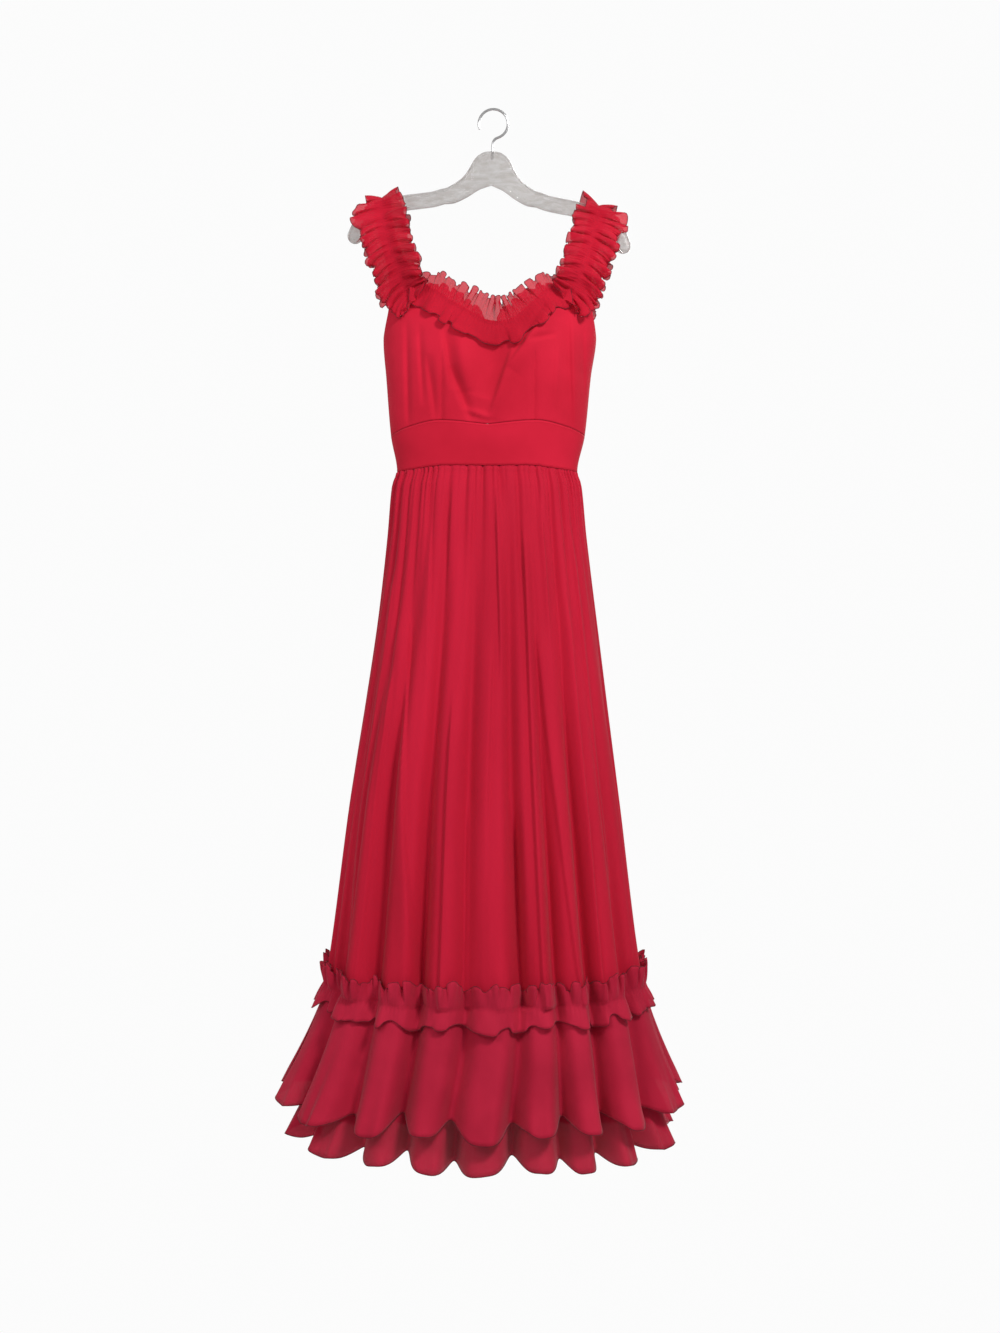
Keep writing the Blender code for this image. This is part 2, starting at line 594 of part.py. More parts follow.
def tape_points(hand):
    """One tape of the zip, inside the back panels and clear of them."""
    heights, depths = back_profile()
    z = np.concatenate([[ZIP_END_Z], heights[(heights > ZIP_END_Z) & (heights < ZIP_TOP_Z)], [ZIP_TOP_Z]])
    y = np.interp(z, heights, depths) - (WALL + TAPE_THICK) / 2 - SEAM_GAP
    x = back_centre_x() + hand * np.array([BACK_OPENING, TAPE_WIDTH])
    lean = np.array([0, TAPE_LEAN])
    return np.array([[(x[k], row_y - lean[k], row_z) for k in range(2)] for row_z, row_y in zip(z, y)])


def back_centre_x():
    """The zip hangs straight down from the middle of the back neckline."""
    return float(section_at(np.array([ZIP_END_Z]))["centre"][0])


def start_scene():
    for old in list(bpy.data.objects):
        bpy.data.objects.remove(old)
    collections = []
    for name in ("prom_dress", "cutters"):
        collection = bpy.data.collections.new(name)
        bpy.context.scene.collection.children.link(collection)
        collections.append(collection)
    return collections


def material(name, colour, roughness, metallic=0.0, transmission=0.0):
    made = bpy.data.materials.new(name)
    made.use_nodes = True
    shader = made.node_tree.nodes["Principled BSDF"]
    shader.inputs["Base Color"].default_value = (*colour, 1)
    shader.inputs["Roughness"].default_value = roughness
    shader.inputs["Metallic"].default_value = metallic
    shader.inputs["Transmission Weight"].default_value = transmission
    return made


def add_object(name, data, collection, finish):
    made = bpy.data.objects.new(name, data)
    collection.objects.link(made)
    if finish:
        made.data.materials.append(finish)
    return made


def add_cloth(name, points, collection, finish, thick=WALL):
    """A cloth piece: a grid primitive bent to the points, made a wall by Solidify."""
    rows, columns = points.shape[:2]
    work = bmesh.new()
    bmesh.ops.create_grid(work, x_segments=columns - 1, y_segments=rows - 1, size=0.5)
    for vertex in work.verts:
        column = round((vertex.co.x + 0.5) * (columns - 1))
        row = round((vertex.co.y + 0.5) * (rows - 1))
        vertex.co = points[row, column]
    mesh = bpy.data.meshes.new(name)
    work.to_mesh(mesh)
    work.free()
    made = add_object(name, mesh, collection, finish)
    wall = made.modifiers.new("wall", "SOLIDIFY")
    wall.thickness = thick
    wall.offset = 0
    wall.use_even_offset = True
    mesh.shade_smooth()
    return made


def mesh_from_curve(name, curve, collection, finish):
    """Turns a curve into a closed mesh object."""
    helper = bpy.data.objects.new(name + "_curve", curve)
    bpy.context.scene.collection.objects.link(helper)
    mesh = bpy.data.meshes.new_from_object(helper.evaluated_get(bpy.context.evaluated_depsgraph_get()))
    bpy.data.objects.remove(helper)
    work = bmesh.new()
    work.from_mesh(mesh)
    bmesh.ops.remove_doubles(work, verts=work.verts, dist=0.000005)
    bmesh.ops.recalc_face_normals(work, faces=work.faces)
    work.to_mesh(mesh)
    work.free()
    mesh.materials.clear()
    return add_object(name, mesh, collection, finish)


def hanger_outline():
    """The hanger's outline with +X half first, inset by the rounding that the curve's bevel adds back."""
    upper, lower, line = arm_edges()
    run = line[-1] - line[-2]
    heading = math.atan2(run[1], run[0])
    turns = np.linspace(math.pi / 2, -math.pi / 2, TIP_POINTS + 2)[1:-1]
    tip = [line[-1] + ARM_HALF_HEIGHT * np.array([math.cos(heading + a), math.sin(heading + a)]) for a in turns]
    half = list(zip(HUB_UPPER["x"], HUB_UPPER["z"])) + [tuple(p) for p in upper[1:]] + [tuple(p) for p in tip]
    half += [tuple(p) for p in lower[:0:-1]] + list(zip(HUB_LOWER["x"], HUB_LOWER["z"]))
    other = [(-x, z) for x, z in half[-2:0:-1]]
    outline = np.array(half + other)
    run = np.roll(outline, -1, axis=0) - np.roll(outline, 1, axis=0)
    inward = np.stack([run[:, 1], -run[:, 0]], axis=-1) / np.linalg.norm(run, axis=1, keepdims=True)
    return outline + inward * HANGER_ROUNDING


def add_hanger(parts, cutters, plastic):
    curve = bpy.data.curves.new("hanger", "CURVE")
    curve.dimensions = "2D"
    curve.fill_mode = "BOTH"
    curve.extrude = HANGER_HALF_THICK - HANGER_ROUNDING
    curve.bevel_depth = HANGER_ROUNDING
    curve.bevel_resolution = 0
    outline = hanger_outline()
    spline = curve.splines.new("POLY")
    spline.points.add(len(outline) - 1)
    for point, (x, z) in zip(spline.points, outline):
        point.co = (x, z, 0, 1)
    spline.use_cyclic_u = True
    hanger = mesh_from_curve("hanger", curve, parts, plastic)
    hanger.rotation_euler = (math.pi / 2, HANGER_TILT, 0)
    socket_mesh = bpy.data.meshes.new("hook_socket")
    work = bmesh.new()
    bmesh.ops.create_cone(
        work, cap_ends=True, segments=16, radius1=SOCKET_RADIUS, radius2=SOCKET_RADIUS, depth=SOCKET_LENGTH
    )
    work.to_mesh(socket_mesh)
    work.free()
    socket = add_object("hook_socket", socket_mesh, cutters, None)
    middle = tilted(0.0, STEM_FOOT_Z - SEAM_GAP + SOCKET_LENGTH / 2)
    socket.location = (middle[0], 0, middle[1])
    socket.rotation_euler = (0, HANGER_TILT, 0)
    socket.hide_render = True
    socket.display_type = "WIRE"
    cut = hanger.modifiers.new("socket", "BOOLEAN")
    cut.operation = "DIFFERENCE"
    cut.object = socket


def add_hook(parts, steel):
    """The wire hook: a stem out of the hub, an eased bend, and the arc that lies over the rod."""
    radius = HOOK_INNER_RADIUS + WIRE_RADIUS
    centre_z = -HOOK_INNER_RADIUS
    arc = [
        (radius * math.cos(a), centre_z + radius * math.sin(a))
        for a in np.radians(np.linspace(HOOK_START, HOOK_END, HOOK_STEPS))
    ]
    stem = [(0, STEM_FOOT_Z), (0, -0.0640), (0, -0.0530), (0.0006, -0.0470), (0.0035, -0.0425)]
    curve = bpy.data.curves.new("hanger_hook", "CURVE")
    curve.dimensions = "3D"
    curve.bevel_depth = WIRE_RADIUS
    curve.bevel_resolution = 2
    curve.use_fill_caps = True
    spline = curve.splines.new("POLY")
    spline.points.add(len(stem) + len(arc) - 1)
    for point, (x, z) in zip(spline.points, stem + arc):
        x, z = tilted(x, z)
        point.co = (x, 0, z, 1)
    add_object("hanger_hook", curve, parts, steel)


def add_box(work, size, at):
    made = bmesh.ops.create_cube(work, size=1.0)["verts"]
    for vertex in made:
        vertex.co = [c * s + a for c, s, a in zip(vertex.co, size, at)]


def add_rod(work, radius, length, at, segments=12):
    """A round rod along X."""
    made = bmesh.ops.create_cone(
        work, cap_ends=True, segments=segments, radius1=radius, radius2=radius, depth=length
    )["verts"]
    for vertex in made:
        vertex.co = (vertex.co.z + at[0], vertex.co.y + at[1], at[2] - vertex.co.x)


def helper_object(name, fill, collection):
    """A hidden mesh that a Boolean joins or cuts."""
    mesh = bpy.data.meshes.new(name)
    work = bmesh.new()
    fill(work)
    bmesh.ops.recalc_face_normals(work, faces=work.faces)
    work.to_mesh(mesh)
    work.free()
    made = add_object(name, mesh, collection, None)
    made.hide_render = True
    made.display_type = "WIRE"
    return made


def combine(target, other, operation):
    step = target.modifiers.new(other.name, "BOOLEAN")
    step.operation = operation
    step.object = other


def pull_axis():
    """Where the zip pull turns: x, y and z of the middle of its pin."""
    x = back_centre_x()
    section = section_at(np.array([PULL_AXIS_Z]))
    reach = (x - section["centre"]) / section["half_width"]
    face = float(plan_point(1, reach, section)[1][0]) + WALL / 2
    return x, face + SEAM_GAP + SLIDER["y"] + LUG["y"] / 2 + SEAM_GAP, PULL_AXIS_Z


def add_zip(parts, cutters, tape, metal):
    for name, hand in (("zip_tape_right", -1), ("zip_tape_left", 1)):
        points = tape_points(hand)
        add_cloth(name, points, parts, tape, TAPE_THICK)
    x, y, z = pull_axis()
    plate_y = y - LUG["y"] / 2 - SEAM_GAP - SLIDER["y"] / 2

    def plate(work):
        add_box(work, (SLIDER["x"], SLIDER["y"], SLIDER["z"]), (x, plate_y, z - SLIDER["below_pin"]))

    slider = helper_object("zip_slider", plate, parts)
    slider.hide_render = False
    slider.display_type = "TEXTURED"
    slider.data.materials.append(metal)
    lug_x = SLIDER["x"] / 2 - LUG["x"] / 2

    for hand in (-1, 1):
        def lug(work, hand=hand):
            size = (LUG["x"], LUG["y"] + LUG["rooted"], LUG["z"])
            add_box(work, size, (x + hand * lug_x, y - LUG["in"], z))

        combine(slider, helper_object(f"slider_lug_{hand + 1}", lug, cutters), "UNION")

    def pin(work):
        add_rod(work, PIN_RADIUS, SLIDER["x"] - LUG["x"], (x, y, z))

    combine(slider, helper_object("slider_pin", pin, cutters), "UNION")
    add_pull(parts, cutters, metal, (x, y, z))


def add_pull(parts, cutters, metal, axis):
    """The pull tab: an eye round the slider's pin, a neck between its lugs and a drop-shaped plate."""
    mesh = bpy.data.meshes.new("zip_pull")
    work = bmesh.new()
    add_rod(work, PULL["eye"], PULL["neck"], (0, 0, 0), 14)
    work.to_mesh(mesh)
    work.free()
    pull = add_object("zip_pull", mesh, parts, metal)
    pull.location = axis

    def plate(work):
        shape = (
            (PULL["neck"] / 2, -0.0009),
            (PULL["neck"] / 2, -0.0050),
            (PULL["width"] * 0.42, -0.0095),
            (PULL["width"] / 2, -0.0170),
            (PULL["width"] * 0.40, -0.0212),
            (PULL["width"] * 0.16, -PULL["length"]),
        )
        outline = list(shape) + [(-x, z) for x, z in reversed(shape)]
        face = work.faces.new([work.verts.new((x, -PULL["thick"] / 2, z)) for x, z in outline])
        grown = bmesh.ops.extrude_face_region(work, geom=[face])["geom"]
        for vertex in (item for item in grown if isinstance(item, bmesh.types.BMVert)):
            vertex.co.y += PULL["thick"]

    def hole(work):
        add_rod(work, PULL["hole"], PULL["neck"] * 2, (0, 0, 0), 14)

    for name, fill, operation in (("pull_plate", plate, "UNION"), ("pull_hole", hole, "DIFFERENCE")):
        helper = helper_object(name, fill, cutters)
        helper.location = axis
        combine(pull, helper, operation)


def add_dress(parts, chiffon, crepe, lining):
    skirt_rows = SKIRT_ROWS[::-1]
    add_cloth("bodice_front", grid_of(bodice_point, -1, np.linspace(0, 1, 8), 28), parts, crepe)
    add_cloth("midriff_front", grid_of(midriff_point, -1, MIDRIFF_ROWS, 20), parts, crepe)
    add_cloth("skirt_front", grid_of(skirt_point, -1, skirt_rows, SKIRT_COLUMNS), parts, chiffon)
    add_cloth("lining_front", grid_of(lining_point, -1, LINING_ROWS, 18), parts, lining)
    for name, hand in (("right", -1), ("left", 1)):
        ends = (-1, 0) if hand < 0 else (0, 1)
        pieces = (
            ("bodice", grid_of(bodice_point, 1, BODICE_BACK_ROWS, 10, *ends), crepe),
            ("midriff", grid_of(midriff_point, 1, MIDRIFF_ROWS, 8, *ends), crepe),
            ("skirt", grid_of(skirt_point, 1, skirt_rows, SKIRT_COLUMNS // 2, *ends), chiffon),
            ("lining", grid_of(lining_point, 1, LINING_ROWS, 9, *ends), lining),
        )
        for piece, points, finish in pieces:
            points[:, -1 if hand < 0 else 0, 0] = back_centre_x() + hand * BACK_OPENING
            add_cloth(f"{piece}_back_{name}", points, parts, finish)


def add_flounces(parts, chiffon):
    for side, name in ((-1, "front"), (1, "back")):
        outer = grid_of(flounce_point, side, FLOUNCE_ROWS, SKIRT_COLUMNS)
        add_cloth(f"flounce_{name}", outer, parts, chiffon)
        inner = grid_of(flounce_point, side, UNDER_ROWS, UNDER_COLUMNS, under=True)
        add_cloth(f"under_flounce_{name}", inner, parts, chiffon)
    add_cloth("heading_ruffle_front", heading_points(-1, HEADING_WAVES_FRONT), parts, chiffon)
    add_cloth("heading_ruffle_back", heading_points(1, HEADING_WAVES_BACK), parts, chiffon)


def add_neck(parts, chiffon, crepe):
    add_cloth("neck_ruffle_front", neck_points(-1, NECK_WAVES_FRONT, -NECK_END, NECK_END), parts, chiffon)
    add_cloth("neck_ruffle_back_right", neck_points(1, NECK_WAVES_BACK, -NECK_END, -NECK_BACK_END), parts, chiffon)
    add_cloth("neck_ruffle_back_left", neck_points(1, NECK_WAVES_BACK, NECK_BACK_END, NECK_END), parts, chiffon)
    for name, hand in (("right", -1), ("left", 1)):
        add_cloth(f"strap_{name}", strap_points(hand), parts, crepe)
        add_cloth(f"strap_ruffle_{name}", strap_ruffle_points(hand), parts, chiffon)


def main():
    parts, cutters = start_scene()
    chiffon = material("chiffon", (0.62, 0.02, 0.06), 0.7)
    crepe = material("crepe", (0.64, 0.015, 0.045), 0.75)
    lining = material("lining", (0.50, 0.01, 0.04), 0.6)
    plastic = material("clear_plastic", (0.93, 0.92, 0.92), 0.08, transmission=0.9)
    steel = material("steel", (0.75, 0.75, 0.76), 0.2, metallic=1.0)
    tape = material("zip_tape", (0.52, 0.01, 0.04), 0.8)
    metal = material("zip_metal", (0.50, 0.02, 0.04), 0.35)
    add_hanger(parts, cutters, plastic)
    add_hook(parts, steel)
    add_dress(parts, chiffon, crepe, lining)
    add_flounces(parts, chiffon)
    add_neck(parts, chiffon, crepe)
    add_zip(parts, cutters, tape, metal)


main()
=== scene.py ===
# %% [markdown]
# # A ruffled prom dress on a clear hanger
#
# The dress is a fitted crepe bodice with a shaped midriff, a chiffon skirt gathered over a lining, two
# flounces at the hem and gathered ruffles at the neck, the straps and the flounce seam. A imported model
# holds the true sizes. Each cell below works out one piece of cloth as a surface over a grid, so that the
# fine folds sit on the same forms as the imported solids. Everything is in metres, with the front at -Y.

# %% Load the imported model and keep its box
import math

import bmesh
import bpy
import numpy as np
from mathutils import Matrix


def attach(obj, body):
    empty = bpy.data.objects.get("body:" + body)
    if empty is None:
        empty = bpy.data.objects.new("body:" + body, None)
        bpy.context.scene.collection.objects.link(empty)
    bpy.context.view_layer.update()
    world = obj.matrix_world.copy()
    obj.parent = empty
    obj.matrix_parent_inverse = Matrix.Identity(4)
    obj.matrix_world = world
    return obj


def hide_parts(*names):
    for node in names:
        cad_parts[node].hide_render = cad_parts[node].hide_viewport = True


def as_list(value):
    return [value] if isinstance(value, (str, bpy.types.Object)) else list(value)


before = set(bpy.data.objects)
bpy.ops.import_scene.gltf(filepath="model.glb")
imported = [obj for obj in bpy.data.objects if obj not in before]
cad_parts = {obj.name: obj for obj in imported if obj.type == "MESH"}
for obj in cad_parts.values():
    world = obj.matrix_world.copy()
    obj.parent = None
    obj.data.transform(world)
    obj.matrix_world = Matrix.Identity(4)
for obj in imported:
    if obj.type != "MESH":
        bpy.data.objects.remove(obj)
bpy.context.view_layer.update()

# %% [markdown]
# ## The camera
#
# The photograph was taken level and straight on, from about three metres. One of its pixels is then 1.5 mm
# wide on the plane of the hanger, and that one number fixes both the distance and the lens.

# %% Place the camera
PIXEL = 0.0015
PHOTO_HEIGHT_PX = 1333
CAMERA_DISTANCE = 3.0
CAMERA_X, CAMERA_Z = 0.00915, -0.834
SENSOR_MM = 24

camera_data = bpy.data.cameras.new("camera")
camera_data.sensor_fit = "VERTICAL"
camera_data.sensor_height = SENSOR_MM
camera_data.lens = SENSOR_MM * CAMERA_DISTANCE / (PHOTO_HEIGHT_PX * PIXEL)
camera = bpy.data.objects.new("camera", camera_data)
camera.location = (CAMERA_X, -CAMERA_DISTANCE, CAMERA_Z)
camera.rotation_euler = (math.pi / 2, 0, 0)
bpy.context.scene.collection.objects.link(camera)
bpy.context.scene.camera = camera
print("lens:", round(camera_data.lens, 2), "mm")

# %% [markdown]
# ## Light and floor
#
# The dress hangs in front of a bright white wall, so the camera sees a white world, while the light that
# reaches the cloth is dimmer. Most of it comes from a lamp high on the right, near enough to give the
# bodice more light than the hem, and weaker ones on the left and behind keep the other sides readable.

# %% Set the light and the floor
WALL_WHITE = 0.97
FILL_STRENGTH = 0.44
FLOOR_Z = -2.30
FLOOR_SIZE = 2.4
LAMPS = {
    "key": {"at": (1.25, -1.9, 0.85), "aim": (0.0, 0.0, -0.6), "size": 0.55, "power": 54},
    "side": {"at": (-1.5, -2.0, 0.2), "aim": (0.0, 0.0, -0.8), "size": 0.9, "power": 17},
    "back": {"at": (0.9, 2.3, 0.7), "aim": (0.0, 0.0, -0.8), "size": 1.2, "power": 42},
}

scene = bpy.context.scene
scene.view_settings.view_transform = "Standard"
world = bpy.data.worlds.new("soft_white")
world.use_nodes = True
world_nodes, world_links = world.node_tree.nodes, world.node_tree.links
fill = world_nodes["Background"]
fill.inputs["Color"].default_value = (1.0, 0.985, 0.975, 1)
fill.inputs["Strength"].default_value = FILL_STRENGTH
white_wall = world_nodes.new("ShaderNodeBackground")
white_wall.inputs["Color"].default_value = (1.0, 1.0, 1.0, 1)
white_wall.inputs["Strength"].default_value = WALL_WHITE
ray = world_nodes.new("ShaderNodeLightPath")
either = world_nodes.new("ShaderNodeMixShader")
world_links.new(ray.outputs["Is Camera Ray"], either.inputs["Fac"])
world_links.new(fill.outputs["Background"], either.inputs[1])
world_links.new(white_wall.outputs["Background"], either.inputs[2])
world_links.new(either.outputs["Shader"], world_nodes["World Output"].inputs["Surface"])
scene.world = world


def add_lamp(name, at, aim, size, power):
    """A square soft lamp at a place, turned towards its aim."""
    lamp = bpy.data.lights.new(name, "AREA")
    lamp.shape = "SQUARE"
    lamp.size = size
    lamp.energy = power
    placed = bpy.data.objects.new(name, lamp)
    placed.location = at
    direction = np.array(aim) - np.array(at)
    turn = math.atan2(direction[0], -direction[1])
    tilt = math.atan2(math.hypot(direction[0], direction[1]), -direction[2])
    placed.rotation_euler = (tilt, 0, turn + math.pi)
    placed.visible_camera = False
    placed.visible_transmission = False
    scene.collection.objects.link(placed)


for lamp_name, lamp_facts in LAMPS.items():
    add_lamp(lamp_name, **lamp_facts)

# %% [markdown]
# ## Surfaces from grids
#
# Cloth is easiest to work out as a function of two numbers: how far across the cut piece a point lies, and
# how far down. Numpy evaluates it for the whole grid at once, and the four corners of each cell become one
# face. The UV map holds the distances along the cloth in metres, so that threads keep their real size.


# %% Make a mesh from a grid of points
MIDDLE_X = -0.010
TUBE_END = 0.02
STITCH_PITCH, STITCH_LENGTH, STITCH_RADIUS = 0.0024, 0.0017, 0.00022


def arc_lengths(points, axis):
    """Length along one direction of the grid: the running sum of its steps, averaged over the other one."""
    steps = np.linalg.norm(np.diff(points, axis=axis), axis=2)
    return np.concatenate([[0], np.cumsum(steps.mean(axis=1 - axis))])


def path_lengths(path):
    """Distance along a line of points: the running sum of the lengths of its steps."""
    return np.concatenate([[0], np.cumsum(np.linalg.norm(np.diff(path, axis=0), axis=1))])


def read_off(places, along, path):
    """Points of a line at given distances along it, straight between its own points."""
    return np.stack([np.interp(places, along, path[:, k]) for k in range(path.shape[1])], axis=-1)


def unit(vectors):
    """The same directions with a length of one."""
    return vectors / np.maximum(np.linalg.norm(vectors, axis=-1, keepdims=True), 1e-9)


def grid_area(points):
    """Area of the grid: half the cross product of each cell's diagonals, summed."""
    first = points[1:, 1:] - points[:-1, :-1]
    second = points[1:, :-1] - points[:-1, 1:]
    return float(np.linalg.norm(np.cross(first, second), axis=2).sum() / 2)


def cells(numbers):
    """The corners of each cell of a grid, in order round the cell, four to a row."""
    corners = [numbers[:-1, :-1], numbers[:-1, 1:], numbers[1:, 1:], numbers[1:, :-1]]
    return np.stack(corners, axis=-1).reshape(-1, 4)


def add_object(name, mesh, finish):
    """An object with this mesh and finish, added to the scene."""
    mesh.materials.append(finish)
    made = bpy.data.objects.new(name, mesh)
    scene.collection.objects.link(made)
    return made


def grid_object(name, points, finish, wall=0.0, closed=False, faces_out=True):
    """An object whose faces join points[row, column], turned to face away from the dress's middle.

    closed joins the last column to the first, and wall gives the sheet its thickness.
    """
    rows, columns = points.shape[:2]
    index = np.arange(rows * columns).reshape(rows, columns)
    across, down = arc_lengths(points, 1), arc_lengths(points, 0)
    if closed:
        index = np.concatenate([index, index[:, :1]], axis=1)
        across = np.concatenate([across, [across[-1] * columns / (columns - 1)]])
    quads = cells(index)
    row_of, column_of = (cells(numbers) for numbers in np.indices(index.shape))
    flat_points = points.reshape(-1, 3)
    a, b, c, d = (flat_points[quads[:, k]] for k in range(4))
    outward = (a + c) / 2 - np.array([MIDDLE_X, 0, 0])
    outward[:, 2] = 0
    if faces_out and np.sum(np.cross(c - a, d - b) * outward) < 0:
        quads, row_of, column_of = (corners[:, ::-1] for corners in (quads, row_of, column_of))
    mesh = bpy.data.meshes.new(name)
    mesh.vertices.add(len(flat_points))
    mesh.vertices.foreach_set("co", flat_points.astype(np.float32).ravel())
    mesh.loops.add(quads.size)
    mesh.loops.foreach_set("vertex_index", quads.astype(np.int32).ravel())
    mesh.polygons.add(len(quads))
    mesh.polygons.foreach_set("loop_start", np.arange(0, quads.size, 4, dtype=np.int32))
    mesh.update(calc_edges=True)
    places = np.stack([across[column_of.ravel()], down[row_of.ravel()]], axis=-1)
    mesh.uv_layers.new(name="cloth").data.foreach_set("uv", places.astype(np.float32).ravel())
    mesh.shade_smooth()
    made = add_object(name, mesh, finish)
    if wall:
        thicken = made.modifiers.new("wall", "SOLIDIFY")
        thicken.thickness = wall
        thicken.offset = 0
    return made


def rings(first, second, sides):
    """For each pair of directions, a circle of radius one in their plane."""
    turn = np.linspace(0, 2 * math.pi, sides, endpoint=False)[None, :, None]
    return np.cos(turn) * first[:, None] + np.sin(turn) * second[:, None]


def tube_object(name, path, radius, finish, reference=(0, 0, 1), sides=6):
    """A thin round roll along a path: rings across its direction, drawn in to a point at both ends.

    The ring's axes are the path's direction crossed with the reference, and crossed once more.
    """
    run = unit(np.gradient(path, axis=0))
    first = unit(np.cross(run, np.broadcast_to(np.asarray(reference, float), path.shape)))
    sizes = np.full(len(path), radius)
    sizes[[0, -1]] = radius * TUBE_END
    points = path[:, None] + rings(first, np.cross(run, first), sides) * sizes[:, None, None]
    made = grid_object(name, points, finish, closed=True, faces_out=False)
    recalculate(made)
    return made


def recalculate(made):
    """Turns the faces of a closed mesh outwards and closes the tiny rings at its ends."""
    work = bmesh.new()
    work.from_mesh(made.data)
    holes = [edge for edge in work.edges if edge.is_boundary]
    if holes:
        bmesh.ops.holes_fill(work, edges=holes)
    bmesh.ops.recalc_face_normals(work, faces=work.faces)
    work.to_mesh(made.data)
    work.free()


def stitches_object(name, paths, finish, proud=0.0002):
    """Rows of short stitches along paths. A stitch is a four-sided spindle: two points and a ring between."""
    starts, runs = [], []
    for path in paths:
        along = path_lengths(path)
        places = np.arange(STITCH_PITCH / 2, along[-1] - STITCH_PITCH / 2, STITCH_PITCH)
        starts.append(read_off(places, along, path))
        runs.append(unit(read_off(places + STITCH_PITCH / 4, along, path) - starts[-1]))
    spot, run = np.concatenate(starts), np.concatenate(runs)
    out = spot - np.array([MIDDLE_X, 0, 0])
    out[:, 2] = 0
    side = unit(np.cross(run, unit(out)))
    out = np.cross(side, run)
    spot = spot + out * proud
    tips = np.stack([spot - run * STITCH_LENGTH / 2, spot + run * STITCH_LENGTH / 2], axis=1)
    vertices = np.concatenate([tips, spot[:, None] + rings(side, out, 4) * STITCH_RADIUS], axis=1)
    pairs = [(2 + k, 2 + (k + 1) % 4) for k in range(4)]
    base = np.array([(0, near, far) for near, far in pairs] + [(1, far, near) for near, far in pairs])
    faces = (base[None] + 6 * np.arange(len(spot))[:, None, None]).reshape(-1, 3)
    mesh = bpy.data.meshes.new(name)
    mesh.from_pydata(vertices.reshape(-1, 3).tolist(), [], faces.tolist())
    made = add_object(name, mesh, finish)
    recalculate(made)
    return made


# %% [markdown]
# ## Fabrics
#
# Each material is a Principled shader with nodes for what varies: a slow change of shade, the threads of
# the weave as a fine bump along the UV map, and for chiffon a share of light that passes through. Chiffon
# is also partly see-through, by a Transparent shader whose share grows where the threads lie open.


# %% Helpers for the node trees
SHADE_ENDS = (0.32, 0.70)
OPEN_NOISE = (0.30, 0.70)
OPEN_SHARES = (1.12, 0.88)


def new_material(name):
    """A material with its nodes and links."""
    made = bpy.data.materials.new(name)
    made.use_nodes = True
    return made, made.node_tree.nodes, made.node_tree.links


def set_values(node, **values):
    """Sets a node's inputs by name, and its own properties where it has no such input."""
    for key, value in values.items():
        if key in node.inputs:
            node.inputs[key].default_value = value
        else:
            setattr(node, key, value)


def add_node(nodes, kind, **values):
    """A new node with its values set."""
    node = nodes.new(kind)
    set_values(node, **values)
    return node


def mixed(nodes, links, first, second):
    """A mix of two shaders. Its Fac is the share of the second."""
    both = nodes.new("ShaderNodeMixShader")
    links.new(first, both.inputs[1])
    links.new(second, both.inputs[2])
    return both


def add_relief(nodes, links, shader, height, strength, distance):
    """Gives a shader a bump that follows a height."""
    relief = add_node(nodes, "ShaderNodeBump", Strength=strength, Distance=distance)
    links.new(height, relief.inputs["Height"])
    links.new(relief.outputs["Normal"], shader.inputs["Normal"])


def shade_between(nodes, links, dark, light, scale, source, stretch=(1, 1, 1)):
    """A colour that wanders between dark and light with noise on the given coordinates, and the noise."""
    place = add_node(nodes, "ShaderNodeMapping", Scale=stretch)
    links.new(source, place.inputs["Vector"])
    noise = add_node(nodes, "ShaderNodeTexNoise", Scale=scale, Detail=3.0, Roughness=0.55)
    links.new(place.outputs["Vector"], noise.inputs["Vector"])
    ramp = nodes.new("ShaderNodeValToRGB")
    for end, position, colour in zip(ramp.color_ramp.elements, SHADE_ENDS, (dark, light)):
        end.position = position
        end.color = (*colour, 1)
    links.new(noise.outputs["Fac"], ramp.inputs["Fac"])
    return ramp.outputs["Color"], noise.outputs["Fac"]


def weave_height(nodes, links, source, pitch):
    """Height of a plain weave: the product of two sine waves, one along each thread direction."""
    waves = []
    for direction in ("X", "Y"):
        wave = add_node(nodes, "ShaderNodeTexWave", Scale=math.pi / (10 * pitch), bands_direction=direction)
        links.new(source, wave.inputs["Vector"])
        waves.append(wave.outputs["Fac"])
    product = add_node(nodes, "ShaderNodeMath", operation="MULTIPLY")
    links.new(waves[0], product.inputs[0])
    links.new(waves[1], product.inputs[1])
    return product.outputs["Value"]


